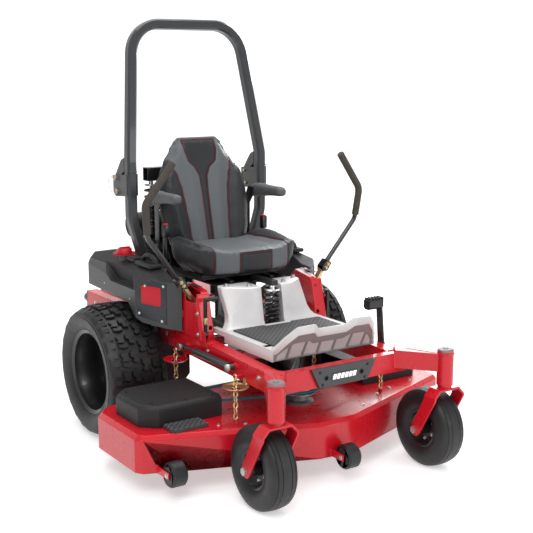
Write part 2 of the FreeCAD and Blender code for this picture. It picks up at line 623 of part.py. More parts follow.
def post():
    """Lower upright: bends inward to the rail, with two cheeks for the hinge and a shelf for a shock."""
    line = [("post_x", "hoop_y", "rail_top"), ("post_x", "hoop_y", "post_bend_low"),
            ("hoop_x", "hoop_y", "post_bend_high"), ("hoop_x", "hoop_y", "hinge_break")]
    bar = bar_tube(line, "post_bend")
    outline = [("hoop_y - bar_deep/2 + 10", "hinge_break - 8"),
               ("hoop_y + hinge_back + 44", "hinge_break - 20"),
               ("hoop_y + hinge_back + 44", "hinge_z - 8"), ("hoop_y + hinge_back + 16", "hinge_z - 24"),
               ("hoop_y - bar_deep/2 + 10", "hinge_z - 14")]
    cheeks = [padded("YZ", outline, f"hoop_x {start}", f"hoop_x {end}")
              for start, end in (("+ bar_wide/2 - 0.1", "+ bar_wide/2 + cheek_thick"),
                                 ("- bar_wide/2 - cheek_thick", "- bar_wide/2 + 0.1"))]
    shelf = padded("XY", [("rear_shock_x - 26", "rear_shock_y - 34"), ("post_x + 20", "hoop_y"),
                          ("post_x + 20", "hoop_y + bar_deep/2 + 8"),
                          ("rear_shock_x + 26", "rear_shock_y + 26"),
                          ("rear_shock_x - 26", "rear_shock_y + 26")],
                   "shock_shelf - 12", "shock_shelf")
    ears = [box((f"rear_shock_x {start}", f"rear_shock_x {end}"), ("rear_shock_y - 14", "rear_shock_y + 14"),
                ("shock_shelf - 1", "rear_shock_low + 12")) for start,
                end in (("- 20", "- 14"), ("+ 14", "+ 20"))]
    stay = box(("post_x + bar_wide/2 - 4", "fender_inner"), ("hoop_y - 14", "hoop_y + 14"),
               ("tail_low + 20", "tail_low + 32"))
    whole = fuse(bar, *cheeks, shelf, *ears, stay)
    holes = [rod("hinge_bolt", ("hoop_x - 60", "hoop_y + hinge_back", "hinge_z"), 120, "x"),
             rod("lock_pin", ("hoop_x - 60", "hoop_y + lock_back", "lock_z"), 120, "x"),
             rod("hinge_bolt", ("rear_shock_x - 40", "rear_shock_y", "rear_shock_low"), 80, "x")]
    return cut(whole, *holes)


def hinge_pins():
    """Hinge bolt and lock pin of one upright, each with a head outside the cheeks."""
    reach = "bar_wide/2 + cheek_thick"
    pieces = []
    for radius, back, z in (("hinge_bolt", "hinge_back", "hinge_z"), ("lock_pin", "lock_back", "lock_z")):
        shank = rod(radius, (f"hoop_x - ({reach}) - 8", f"hoop_y + {back}", z), f"({reach})*2 + 8", "x")
        head = rod(f"{radius} + 5", (f"hoop_x + {reach}", f"hoop_y + {back}", z), 9, "x")
        pieces.append(fuse(shank, head))
    return pieces


keep(hoop(), "roll_bar_hoop")
left_post = post()
keep(group(left_post, mirrored(left_post)), "roll_bar_posts")
left_pins = hinge_pins()
keep(group(*left_pins, *[mirrored(pin) for pin in left_pins]), "roll_bar_pins")


# ---------------------------------------------------------------- control towers and levers
def rail_at(y):
    """Height of the rail's top at a place on its sloping front part."""
    return f"(rail_front_top + (rail_top - rail_front_top)*(({y}) - rail_front)/(rail_bend - rail_front))"


def tower():
    """Folded sheet tower on a rail, open below, with a notch for the lever stub and holes in its front."""
    outer = "tower_inner + tower_wide"
    back = "tower_rear - 60"
    outline = [("tower_front", rail_at("tower_front")), ("tower_front + 46", "tower_high - 30"),
               ("tower_front + 62", "tower_high - 18"), ("tower_rear - 54", "tower_high"),
               ("tower_rear", "tower_high - 54"), (back, rail_at(back))]
    body = padded("YZ", outline, "tower_inner", outer)
    chamfered(body, 9, lambda edge: edge.BoundBox.XMin > size(outer) - 0.1
              and edge.BoundBox.YMax < size("tower_front + 50"))
    hollowed(body, "tower_wall", lambda face: face.normalAt(0, 0).z < -0.9)
    notch = [(f"{outer} - 28", "lever_y - 46"), (f"{outer} + 1", "lever_y - 46"),
             (f"{outer} + 1", "lever_y + 40"),
             (f"{outer} - 28", "lever_y + 40")]
    pocket(body, "XY", notch, "lever_pivot_z + 12", "tower_high + 5")
    pin = rod("lever_pivot", ("tower_inner + 1", "lever_y", "lever_pivot_z"), "tower_wide - 2", "x")
    holes = [rod(6, ("tower_inner + 18", "tower_front - 2", "tower_high - 58"), 60, "y"),
             rod(9, ("tower_inner + 14", "tower_front - 2", rail_at("tower_front") + " + 52"), 40, "y")]
    ends = ("tower_front + 30", "tower_rear - 90")
    foot = padded("YZ", [(ends[0], rail_at(ends[0])), (ends[1], rail_at(ends[1])),
                         (ends[1], rail_at(ends[1]) + " + 4"),
                         (ends[0], rail_at(ends[0]) + " + 4")], "tower_inner + 1",
                         "rail_inner + rail_wide - 1")
    stay = box((f"{outer} - 1", "fender_inner"), ("fender_front + 8", "fender_front + 34"),
               ("fender_low + 60", "fender_low + 90"))
    return fuse(cut(fuse(body, foot, stay), *holes), pin)


def lever_stub():
    """Forged stub: turns fore and aft on the tower's pin, leans out and carries the lever's side hinge."""
    boss = rod("lever_pivot + 9", ("stub_x - 16", "lever_y", "lever_pivot_z"), 32, "x")
    bar = padded("XZ", [("stub_x - stub_thick/2 - 2", "lever_pivot_z"),
                        ("stub_x + stub_thick/2 + 2", "lever_pivot_z"),
                        ("knuckle_x + stub_thick/2", "knuckle_z"),
                        ("knuckle_x - stub_thick/2", "knuckle_z + 4")],
                 "lever_y - stub_deep/2", "lever_y + stub_deep/2")
    barrel = rod("knuckle_radius", ("knuckle_x", "lever_y - stub_deep/2", "knuckle_z"), "stub_deep", "y")
    bores = [rod("lever_pivot + running_gap", ("stub_x - 40", "lever_y", "lever_pivot_z"), 80, "x"),
             rod("knuckle_pin + running_gap", ("knuckle_x", "lever_y - stub_deep", "knuckle_z"),
                 "stub_deep*2", "y")]
    return cut(fuse(boss, bar, barrel), *bores)


LEVER = [("knuckle_x + 20", "lever_y", "knuckle_z + 27"),
         ("lever_low_x", "lever_y - lever_rake*0.4", "lever_low_z"),
         ("lever_bend_x", "lever_y - lever_rake*0.7", "lever_bend_z"),
         ("lever_top_x", "lever_y - lever_rake", "lever_top_z")]


def lever():
    """Bent steel lever with the clevis that grips the stub's knuckle."""
    bar = swept(LEVER, "lever_curve", twelve_sided("lever_radius"))
    reach = "stub_deep/2 + 0.3"
    block = padded("XZ", [("knuckle_x - 12", "knuckle_z - 9"), ("knuckle_x + 14", "knuckle_z - 9"),
                          ("knuckle_x + 38", "knuckle_z + 26"), ("knuckle_x + 16", "knuckle_z + 44"),
                          ("knuckle_x - 12", "knuckle_z + 14")], f"lever_y - ({reach}) - 7",
                          f"lever_y + {reach} + 7")
    throat = box(("knuckle_x - 20", "knuckle_x + 40"), (f"lever_y - ({reach})", f"lever_y + {reach}"),
                 ("knuckle_z - 20", "knuckle_z + knuckle_radius + 2"))
    pin = rod("knuckle_pin", ("knuckle_x", f"lever_y - ({reach}) - 10", "knuckle_z"), f"({reach} + 10)*2",
              "y")
    return fuse(cut(fuse(bar, block), throat), pin)


def grip():
    """Foam grip over the upper bends of the lever."""
    start = [f"({b}) + (({a}) - ({b}))*grip_start" for a, b in zip(LEVER[2], LEVER[1])]
    way = [f"({b}) + (({b}) - ({a}))*grip_over" for a, b in zip(LEVER[2], LEVER[3])]
    foam = swept([start, LEVER[2], way], "lever_curve", twelve_sided("grip_radius"))
    return cut(foam, swept(LEVER, "lever_curve", twelve_sided("lever_radius")))


left_tower = tower()
keep(group(left_tower, mirrored(left_tower)), "control_towers")
for make, node in ((lever_stub, "lever_stub"), (lever, "drive_lever"), (grip, "lever_grip")):
    piece = keep(make(), node + "_left")
    keep(mirrored(piece), node + "_right")


# ---------------------------------------------------------------- fenders and lift gear
def fender_block(skin, drop):
    """The fender's faceted block: its side, plan and front outlines cut to each other."""
    inner, outer = f"fender_inner + {skin}", f"fender_outer - {skin}"
    top = f"fender_high - {skin}"
    side = [(f"fender_front + {skin}", f"fender_low - {drop}"),
            ("fender_front + 140", f"fender_low + 26 - {drop}"),
            ("fender_front + 250", f"tail_low - {drop}"), (f"fender_rear - {skin}", f"tail_low - {drop}"),
            (f"fender_rear - {skin}", f"{top} - 22"), ("fender_rear - 180", f"{top} + 14"),
            ("fender_front + 350", f"{top} - 14"), ("fender_front + 178", top),
            ("fender_front + 76", f"{top} - 44"),
            (f"fender_front + {skin}", f"{top} - 50")]
    plan = [(inner, f"fender_front + {skin}"), (f"fender_nose - {skin}", f"fender_front + 40 + {skin}"),
            (outer, f"fender_front + 170 + {skin}"), (f"{outer} - 30", f"fender_rear - 75 - {skin}"),
            (inner, f"fender_rear - {skin}")]
    low = f"fender_low - {drop} - 1"
    front = [(inner, low), (outer, low), (outer, f"{top} - 94"), (f"{outer} - 46", f"{top} - 36"),
             (f"{inner} + 14", f"{top} + 18"), (inner, f"{top} + 18")]
    recess = [("fender_front + 184", f"{top} - 94 - {skin}"), (f"fender_front + 290", f"{top} - 30 + {skin}"),
              ("fender_rear - 200", f"{top} - 10 + {skin}"), ("fender_rear - 354", f"{top} - 98 - {skin}")]
    block = common(padded("YZ", side, "fender_inner - 1", "fender_outer + 1"),
                   padded("XY", plan, low, "fender_high + 30"))
    block = common(block, padded("XZ", front, "fender_front - 1", "fender_rear + 1"))
    return cut(block, padded("YZ", recess, f"recess_x - {skin}", "fender_outer + 5"))


def fender():
    """Moulded fender beside the seat: a faceted pod that runs back over the drive wheel, open below."""
    return cut(fender_block("0", "0"), fender_block("fender_wall", "30"))


left_fender = fender()
neck_place = ("-cap_x", "cap_y")
neck = cut(rod("cap_radius - 8", (*neck_place, "fender_high - 20"), "cap_low + 11 - (fender_high - 20)"),
           rod("cap_radius - 12", (*neck_place, "fender_high - 30"), 80))
keep(group(left_fender, fuse(mirrored(left_fender), neck)), "fenders")
cap = rod("cap_radius", (*neck_place, "cap_low"), 30)
keep(cut(cap, rod("cap_radius - 8 + running_gap", (*neck_place, "cap_low - 2"), "13 + working_gap")),
     "fuel_cap")


def lift_strut():
    """Gas strut of the deck lift, with an eye and a bolt at each end."""
    front, rear, x, z = "strut_front_y", "strut_rear_y", "strut_x", "strut_z"
    clear = "strut_radius + 3"
    tube = rod("strut_radius", (x, f"{front} + {clear}", z), f"({rear} - 100) - ({front} + {clear})", "y")
    slim = rod("strut_radius*0.5", (x, f"{rear} - 102", z), "90", "y")
    neck = rod("strut_radius*0.5", (x, f"{front} + 10", z), clear, "y")
    pieces = [tube, slim, neck]
    for y in (front, rear):
        pieces.append(rod("strut_radius - 2", (f"{x} - 12", y, z), 24, "x"))
        pieces.append(rod("strut_bolt", (f"{x} - 23", y, z), 46, "x"))
    return fuse(*pieces)


keep(mirrored(lift_strut()), "lift_strut")


def chain(y):
    """A hanging chain of links between a hook on the rail and a lug on the deck, every other one turned."""
    pitch = "link_long - chain_wire*2"
    low = f"chain_top - link_long - (link_count - 1)*({pitch})"
    links = []
    for index in range(int(size("link_count"))):
        link = padded("XZ", stadium("link_wide/2", "link_long/2"), "-chain_wire", "chain_wire")
        pocket(link, "XZ", stadium("link_wide/2 - chain_wire*2", "link_long/2 - chain_wire*2"),
               "-chain_wire*2", "chain_wire*2")
        centre = f"{low} + link_long/2 + {index}*({pitch})"
        links.append(place(link, "chain_x", y, centre, (0, 0, 1), 90 * (index % 2)))
    return links


def stadium(wide, high):
    """Eight corners of an upright link round the origin."""
    corner = f"({wide})*0.5"
    return [(f"{x}*({a})", f"{z}*({b})") for x, z, a, b in
            ((1, -1, corner, high), (1, -1, wide, f"({high}) - ({corner})"),
             (1, 1, wide, f"({high}) - ({corner})"),
             (1, 1, corner, high), (-1, 1, corner, high), (-1, 1, wide, f"({high}) - ({corner})"),
             (-1, -1, wide, f"({high}) - ({corner})"), (-1, -1, corner, high))]


chains = chain("front_chain_y") + chain("rear_chain_y")
keep(group(*chains, *[mirrored(link) for link in chains]), "lift_chains")


def lift_pedal():
    """Deck lift pedal: a leaning arm with a ribbed foot roller at its top."""
    x = "rail_inner + rail_wide + 8"
    outline = [("pedal_y - 18", "pedal_z"), ("pedal_y", "pedal_z - 18"), ("pedal_y + 18", "pedal_z"),
               ("pedal_y + pedal_lean + 16", "pedal_z + pedal_high"),
               ("pedal_y + pedal_lean - 16", "pedal_z + pedal_high")]
    arm = padded("YZ", outline, x, f"{x} + 10")
    y, z = "pedal_y + pedal_lean", "pedal_z + pedal_high"
    section = [(f"{y} - 22", f"{z} - 14"), (f"{y} - 12", f"{z} - 24"), (f"{y} + 12", f"{z} - 24"),
               (f"{y} + 22", f"{z} - 14"), (f"{y} + 22", f"{z} + 16"), (f"{y} - 22", f"{z} + 16")]
    foot = padded("YZ", section, "pan_half + 14", f"{x} + 12")
    ribs = [box((f"pan_half + 20 + {index}*16", f"pan_half + 26 + {index}*16"), (f"{y} - 22", f"{y} + 22"),
                (f"{z} + 12", f"{z} + 26")) for index in range(5)]
    boss = rod("pedal_pin + 8", (f"{x} - 6", "pedal_y", "pedal_z"), 20, "x")
    bore = rod("pedal_pin + running_gap", (f"{x} - 20", "pedal_y", "pedal_z"), 60, "x")
    return cut(fuse(arm, foot, boss, *ribs), bore)


keep(lift_pedal(), "lift_pedal")


def brake_lever():
    """Parking brake lever in front of the right tower: flat bar with a bent handle."""
    x = "-brake_x"
    bar = box((f"{x} - 5", f"{x} + 5"), ("brake_y - 8", "brake_y + 8"), ("brake_z", "brake_z + 150"))
    handle = rod(9, (f"{x} - 4", "brake_y", "brake_z + 150"), 62, "x")
    boss = rod(14, (f"{x} - 6.5", "brake_y", "brake_z"), 13, "x")
    return cut(fuse(bar, handle, boss), rod("pedal_pin + running_gap", (f"{x} - 20", "brake_y", "brake_z"),
                                            40, "x"))


def lock_lever():
    """Transport lock lever outside the left tower."""
    x, y, z = "lock_lever_x", "lock_lever_y", "rail_low + 24"
    bar = box((f"{x} - 6", f"{x} + 6"), (f"{y} - 11", f"{y} + 11"), (z, f"{z} + lock_lever_long"))
    tip = rod(11, (f"{x} - 6", y, f"{z} + lock_lever_long"), 12, "x")
    boss = rod(15, (f"{x} - 7", y, z), 14, "x")
    return cut(fuse(bar, tip, boss), rod("pedal_pin + running_gap", (f"{x} - 20", y, z), 40, "x"))


keep(brake_lever(), "brake_lever")
keep(lock_lever(), "lock_lever")


# ---------------------------------------------------------------- suspended platform
def floor_pan():
    """Foot platform: flat pan with a raised, ribbed front lip."""
    outline = [("pan_rear", "pan_low"), ("pan_rear", "pan_high"), ("pan_front + 92", "pan_high"),
               ("pan_front + 40", "lip_high - 6"), ("pan_front + 14", "lip_high"),
               ("pan_front", "lip_high - 12"),
               ("pan_front + 8", "pan_low + 10"), ("pan_front + 30", "pan_low")]
    body = padded("YZ", outline, "-pan_half", "pan_half")
    hollowed(body, "pan_wall", lambda face: face.normalAt(0, 0).z < -0.9 or face.normalAt(0, 0).y > 0.9)
    bay = [("-shock_bay", "pan_rear - 160"), ("shock_bay", "pan_rear - 160"), ("shock_bay", "pan_rear + 1"),
           ("-shock_bay", "pan_rear + 1")]
    pocket(body, "XY", bay, "pan_low - 1", "pan_high + 1")
    pitch = "(pan_half*2 - 28)/7"
    for index in range(7):
        left = f"-pan_half + 14 + {index}*({pitch}) + 6"
        window = [(left, "pan_low + 22"), (f"{left} + {pitch} - 12", "pan_low + 22"),
                  (f"{left} + {pitch} - 18", "lip_high - 32"), (f"{left} + 6", "lip_high - 32")]
        pocket(body, "XZ", window, "pan_front - 2", "pan_front + 20")
    return body


def knee_cover():
    """Shell between the foot platform and the seat, with a bay for the front shock."""
    outline = [("cover_front", "pan_high"), ("cover_front + 26", "pan_high + 40"),
               ("cover_front + 84", "pan_high + 92"),
               ("cover_front + 120", "cover_high - 12"), ("cover_front + 140", "cover_high"),
               ("cover_rear", "cover_high"), ("cover_rear", "pan_high")]
    body = padded("YZ", outline, "-pan_half", "pan_half")
    bay = [("-shock_bay", "cover_front - 1"), ("shock_bay", "cover_front - 1"),
           ("shock_bay", "cover_rear - 24"),
           ("-shock_bay", "cover_rear - 24")]
    pocket(body, "XY", bay, "pan_high - 1", "cover_high + 1")
    return hollowed(body, "cover_wall", lambda face: face.normalAt(0, 0).z < -0.9 or face.normalAt(0,
                                                                                                   0).y > 0.9)


def floor_mats():
    side = padded("XY", [("shock_bay + 4", "pan_front + 104"), ("pan_half - 20", "pan_front + 104"),
                         ("pan_half - 20", "cover_front - 8"), ("shock_bay + 4", "cover_front - 8")],
                  "pan_high", "pan_high + mat_thick")
    return group(side, mirrored(side))


def suspension_frame():
    """Sprung frame: spines under the pan, risers behind the seat and the yoke over the rear shocks."""
    top = "pan_high - pan_wall"
    level = (f"{top} - spine_high", top)
    spine = tube_box(("spine_x", "spine_x + spine_wide"), ("pan_front + 60", "riser_y - 40"), level, "y")
    riser = tube_box(("spine_x - 40", "spine_x"), ("riser_y", "riser_y + riser_deep"),
                     (f"{top} - 1", "yoke_low + 1"), "z")
    heel = box(("spine_x - 40", "spine_x + spine_wide"), ("riser_y - 41", "riser_y + riser_deep"),
               (f"{top} - 10", top))
    legs = [tube_box(("spine_x", "spine_x + spine_wide"), (start, end),
                     (f"{top} - 1", "seat_plate - plate_thick + 1"), "z")
            for start, end in (("cover_rear + 6", "cover_rear + 36"), ("120", "150"))]
    half = fuse(spine, riser, heel, *legs)
    plate = box(("-spine_x - spine_wide", "spine_x + spine_wide"), ("cover_rear + 4", "back_foot_y + 58"),
                ("seat_plate - plate_thick", "seat_plate"))
    nose = box(("-16", "16"), ("front_shock_y - 22", "cover_rear + 20"),
               ("cover_high + 4", "cover_high + 26"))
    web = box(("-10", "10"), ("cover_rear + 6", "cover_rear + 24"), ("seat_plate - 2", "cover_high + 26"))
    yoke = tube_box(("-yoke_half", "yoke_half"), ("riser_y", "riser_y + riser_deep + 14"),
                    ("yoke_low", "yoke_high"), "x")
    runner = box(("runner_x", "runner_x + runner_wide"), ("cushion_front + 20", "back_foot_y + 58"),
                 ("seat_plate - 1", "seat_plate + runner_high"))
    return fuse(half, mirrored(half), plate, nose, web, yoke, runner, mirrored(runner))


keep(floor_pan(), "foot_platform")
keep(knee_cover(), "knee_cover")
keep(floor_mats(), "floor_mats")
keep(suspension_frame(), "suspension_frame")


def shock(x, y, low, high):
    """The damper, rod and coil spring of one shock, each a separate piece round the same axis."""
    split = f"{low} + (({high}) - ({low}))*0.56"
    body = fuse(rod("damper_radius", (x, y, f"{low} + 13"), f"{split} - ({low}) - 13"),
                rod("coil_radius + 5", (x, y, f"{low} + 14"), 8), rod(12, (f"{x} - 13", y, low), 26, "x"),
                rod("hinge_bolt", (f"{x} - 24", y, low), 48, "x"), rod(11, (x, y, low), 15))
    body = cut(body, rod("rod_radius + running_gap", (x, y, f"{low} + 30"), f"{split} - ({low})"))
    slider = fuse(rod("rod_radius", (x, y, f"{low} + 90"), f"{high} - ({low}) - 90"),
                  rod("coil_radius + 5", (x, y, f"{high} - 22"), 8), rod(11, (x, y, f"{high} - 15"), 15))
    start, end = size(f"{low} + 22 + coil_wire"), size(f"{high} - 22 - coil_wire")
    half, steps = size("coil_wire") * 0.85, int(size("coil_turns")) * 12
    spots = []
    for step in range(steps + 1):
        turn = math.radians(30 * step)
        spots.append(Vector(math.cos(turn), math.sin(turn), 0) * size("coil_radius")
                     + Vector(0, 0, (end - start) * step / steps))
    flat = Part.makePolygon([Vector(size("coil_radius") + a, 0, b) for a, b in
                             ((half, half), (-half, half), (-half, -half), (half, -half), (half, half))])
    coil = doc.addObject("Part::Feature", "coil")
    coil.Shape = Part.makePolygon(spots).makePipeShell([flat], True, True, 1)
    place(coil, x, y, f"{low} + 22 + coil_wire")
    return body, slider, coil


shocks = [shock(0, "front_shock_y", "front_shock_low", "cover_high + 4"),
          shock("rear_shock_x", "rear_shock_y", "rear_shock_low", "yoke_low")]
for index, node in enumerate(("shock_bodies", "shock_rods", "shock_springs")):
    front, rear = shocks[0][index], shocks[1][index]
    keep(group(front, rear, mirrored(rear)), node)


# ---------------------------------------------------------------- seat
def leaned(piece):
    """Set a piece drawn upright at the foot of the seat back to the back's lean."""
    return place(piece, 0, "back_foot_y", "back_low", (1, 0, 0), "-back_lean")


def seat_cushion():
    inner = "-tower_inner + cushion_clear"
    over = "tower_high + ride_travel + cushion_clear"
    outline = [(inner, "cushion_low"), (inner, over), ("-cushion_half", over + " + 24"),
               ("-cushion_half + 6", "cushion_high - 14"), ("-cushion_half + 34", "cushion_high"),
               ("-cushion_half + 74", "cushion_high - 4"), ("-cushion_half + 150", "cushion_high - 40")]
    right = [(f"-({x})", z) for x, z in outline]
    body = padded("XZ", outline + right[::-1], "cushion_front", "back_foot_y - cushion_gap")
    chamfered(body, 26, lambda edge: edge.BoundBox.YMax < size("cushion_front + 1")
              and edge.BoundBox.ZMin > size(over + " + 12"))
    return body


def seat_back():
    high = "(back_high - back_low)/cos(back_lean)"
    outline = [("-back_half + 40", "0"), ("-back_half + 6", "60"), ("-back_half", "208"),
               ("-back_half + 14", "308"),
               ("-back_half + 70", "398"), ("-back_half + 116", f"{high} - 22"), ("-back_half + 150", high)]
    right = [(f"-({x})", z) for x, z in outline]
    body = padded("XZ", outline + right[::-1], "0", "back_thick")
    chamfered(body, 20, lambda edge: edge.BoundBox.YMax < 1)
    return leaned(body)


def seat_base():
    """Seat pan on its slides, the shell behind the back and the two armrest brackets."""
    low = "seat_plate + runner_high + working_gap"
    front = "cover_rear + 30 + seat_travel"
    pan = padded("XY", [("-back_half + 23", front), ("back_half - 23", front),
                        ("back_half - 23", "back_foot_y + 118"),
                        ("-back_half + 23", "back_foot_y + 118")], low, "cushion_low - 0.3")
    hollowed(pan, "tube_wall", faces_toward(0, 0, -1))
    lips = [box((f"runner_x {a}", f"runner_x {b}"), (f"{front} + 4", "back_foot_y + 58"),
                ("seat_plate + 2", "cushion_low - 2"))
            for a, b in (("- working_gap - 4", "- working_gap"),
                         ("+ runner_wide + working_gap", "+ runner_wide + working_gap + 4"))]
    skin = [("-back_half + 60", "cushion_low - back_low + 4"), ("-back_half + 40", "88"),
            ("-back_half + 30", "308"),
            ("-back_half + 110", "458")]
    right = [(f"-({x})", z) for x, z in skin]
    shell = leaned(padded("XZ", skin + right[::-1], "back_thick + 0.3", "back_thick + 7"))
    near = "back_half + 0.3"
    plate = padded("YZ", [("back_foot_y + 82", low), ("back_foot_y + 116", low),
                          ("back_foot_y + 124", "arm_rest_z - 40"),
                          ("arm_rest_y + 24", "arm_rest_z + 20"), ("arm_rest_y - 20", "arm_rest_z + 20"),
                          ("arm_rest_y - 20", "arm_rest_z - 20"), ("back_foot_y + 82", "arm_rest_z - 60")],
                   near, f"{near} + 6")
    foot = box(("back_half - 24", f"{near} + 1"), ("back_foot_y + 82", "back_foot_y + 116"),
               (low, f"{low} + 8"))
    pin = rod("arm_rest_pin", (f"{near} + 1", "arm_rest_y", "arm_rest_z"), f"arm_rest_wide + 14", "x")
    head = rod("arm_rest_pin + 5", (f"{near} + arm_rest_wide + 8", "arm_rest_y", "arm_rest_z"), 7, "x")
    side = fuse(plate, foot, pin, head, *lips)
    return fuse(pan, shell, side, mirrored(side))


def armrest():
    """Moulded armrest that folds up about the pin of its bracket."""
    near = "back_half + 7"
    y, z = "arm_rest_y", "arm_rest_z"
    outline = [(f"{y} + 26", f"{z} - 16"), (f"{y} + 26", f"{z} + 18"), (f"{y} - 16", f"{z} + 34"),
               (f"{y} - arm_rest_long + 26", f"{z} + 26"), (f"{y} - arm_rest_long", f"{z} + 8"),
               (f"{y} - arm_rest_long + 30", f"{z} - 8"), (f"{y} - 40", f"{z} - 26"),
               (f"{y} + 6", f"{z} - 30")]
    body = padded("YZ", outline, near, f"{near} + arm_rest_wide")
    return cut(body, rod("arm_rest_pin + running_gap", (f"{near} - 2", y, z), "arm_rest_wide + 4", "x"))


keep(seat_cushion(), "seat_cushion")
keep(seat_back(), "seat_back")
keep(seat_base(), "seat_base")
left_rest = keep(armrest(), "armrest_left")
keep(mirrored(left_rest), "armrest_right")


# ---------------------------------------------------------------- mowing deck
SPINDLES = {"left": ("spindle_x", "spindle_y"), "centre": ("0", "centre_spindle_y"),
            "right": ("-spindle_x", "spindle_y")}
ROLLERS = {"left": ("corner_roller_x", "corner_roller_y"), "middle": ("0", "deck_nose - 30"),
           "right": ("-corner_roller_x", "corner_roller_y")}


def front_line(x):
    """Y of the deck's sloping front edge at a distance from the middle."""
    return f"(deck_nose + (deck_corner_y - deck_nose)/(deck_half - corner_cut)*({x}))"


def deck_shell():
    """Pressed deck, open below, with roller brackets at the front and chain lugs on top."""
    right = [("nose_half", front_line("nose_half")), ("deck_half - corner_cut", "deck_corner_y"),
             ("deck_half", "deck_corner_y + 31"), ("deck_half", "deck_rear - 89"),
             ("deck_half - 55", "deck_rear - 24"),
             ("deck_half - 135", "deck_rear")]
    left = [(f"-({x})", y) for x, y in right]
    body = padded("XY", left[::-1] + right, "deck_low", "deck_high")
    chamfered(body, 16, lambda edge: edge.BoundBox.ZMin > size("deck_high") - 0.1)
    hollowed(body, "deck_wall", faces_toward(0, 0, -1))
    parts, holes = [], []
    for x, y in ROLLERS.values():
        for side in (-1, 1):
            near = f"{x} + {side}*(roller_wide/2 + 3)"
            start = front_line(near if x[0] != "-" else f"-({near})") if x != "0" else front_line("nose_half")
            parts.append(box((f"{near} - 3", f"{near} + 3"), (f"{y} - 16", f"{start} + 3"),
                             ("deck_low + 2", "roller_z + 16")))
        pin_long = "roller_wide + 12"
        parts.append(rod("roller_bore - running_gap", (f"{x} - ({pin_long})/2", y, "roller_z"), pin_long,
                         "x"))
    for y in ("front_chain_y", "rear_chain_y"):
        for side in ("", "-"):
            parts.append(box((f"{side}chain_x - 6", f"{side}chain_x + 6"), (f"{y} - 8", f"{y} + 8"),
                             ("deck_high - 1",
                              "chain_top - link_long - (link_count - 1)*(link_long - chain_wire*2) - 0.3")))
    for x, y in SPINDLES.values():
        holes.append(rod("housing_radius - 24", (x, y, "deck_high - 20"), 40))
    return cut(fuse(body, *parts), *holes)


def spindle_housing(x, y):
    outline = [("shaft_radius + running_gap", "deck_high - 34"), ("housing_radius - 24", "deck_high - 34"),
               ("housing_radius - 24", "deck_high"), ("housing_radius", "deck_high"),
               ("housing_radius", "deck_high + 8"),
               ("housing_radius - 22", "deck_high + 14"), ("housing_radius - 28", "housing_high"),
               ("shaft_radius + running_gap", "housing_high")]
    return place(turned("XZ", outline, "V_Axis"), x, y, 0)


def spindle(x, y):
    """Blade, shaft and grooved pulley that turn together."""
    top, low = "groove_high + 8", "groove_low - 8"
    outline = [("0", "blade_z - 14"), ("20", "blade_z - 14"), ("20", "blade_z"), ("26", "blade_z"),
               ("26", "deck_high - 34 - 3"), ("shaft_radius", "deck_high - 34 - 3"), ("shaft_radius", low),
               ("pulley_radius", low), ("pulley_radius", "groove_low - 3"), ("groove_radius", "groove_low"),
               ("groove_radius", "groove_high"), ("pulley_radius", "groove_high + 3"), ("pulley_radius", top),
               ("shaft_radius", top), ("shaft_radius", f"{top} + 6"), ("0", f"{top} + 6")]
    shaft = turned("XZ", outline, "V_Axis")
    half, wide = "blade_long/2", "blade_wide/2"
    blade = padded("XY", [(f"-({half})", f"-({wide})"), (f"{half} - 12", f"-({wide})"),
                          (half, f"-({wide}) + 12"),
                          (half, wide), (f"-({half}) + 12", wide), (f"-({half})", f"{wide} - 12")],
                   "blade_z", "blade_z + blade_thick")
    wings = [box((f"{a}", f"{b}"), (c, d), ("blade_z + 1", "blade_z + 22"))
             for a, b, c, d in ((f"{half} - 90", f"{half} - 6", f"{wide} - 5", wide),
                                (f"-({half}) + 6", f"-({half}) + 90", f"-({wide})", f"-({wide}) + 5"))]
    return place(fuse(shaft, blade, *wings), x, y, 0)


def deck_belt():
    """Flat loop of the deck belt round the grooves of the three spindle pulleys."""
    corners = [Vector(size(x), size(y), size("groove_low + 1")) for x, y in SPINDLES.values()]
    middle = Part.Wire(Part.makePolygon(corners + corners[:1]))
    inner = middle.makeOffset2D(size("groove_radius + 0.3"))
    outer = middle.makeOffset2D(size("groove_radius + 0.3 + belt_thick"))
    ring_face = Part.makeFace([outer, inner], "Part::FaceMakerBullseye")
    obj = doc.addObject("Part::Feature", "belt")
    obj.Shape = ring_face.extrude(Vector(0, 0, size("groove_high - groove_low - 2")))
    return obj


def belt_cover():
    """Moulded cover over one outer pulley, open below and towards the middle."""
    body = padded("XY", [("cover_inner_x", "cover_front_y"), ("cover_outer_x - 60", "cover_front_y"),
                         ("cover_outer_x", "cover_front_y + 60"), ("cover_outer_x", "cover_rear_y - 60"),
                         ("cover_outer_x - 60", "cover_rear_y"), ("cover_inner_x", "cover_rear_y")],
                  "deck_high", "cover_top")
    chamfered(body, 14, lambda edge: edge.BoundBox.ZMin > size("cover_top") - 0.1
              and edge.BoundBox.XMax > size("cover_inner_x") + 1)
    hollowed(body, "cover_skin", lambda face: face.normalAt(0, 0).z < -0.9 or face.normalAt(0, 0).x < -0.9)
    return body


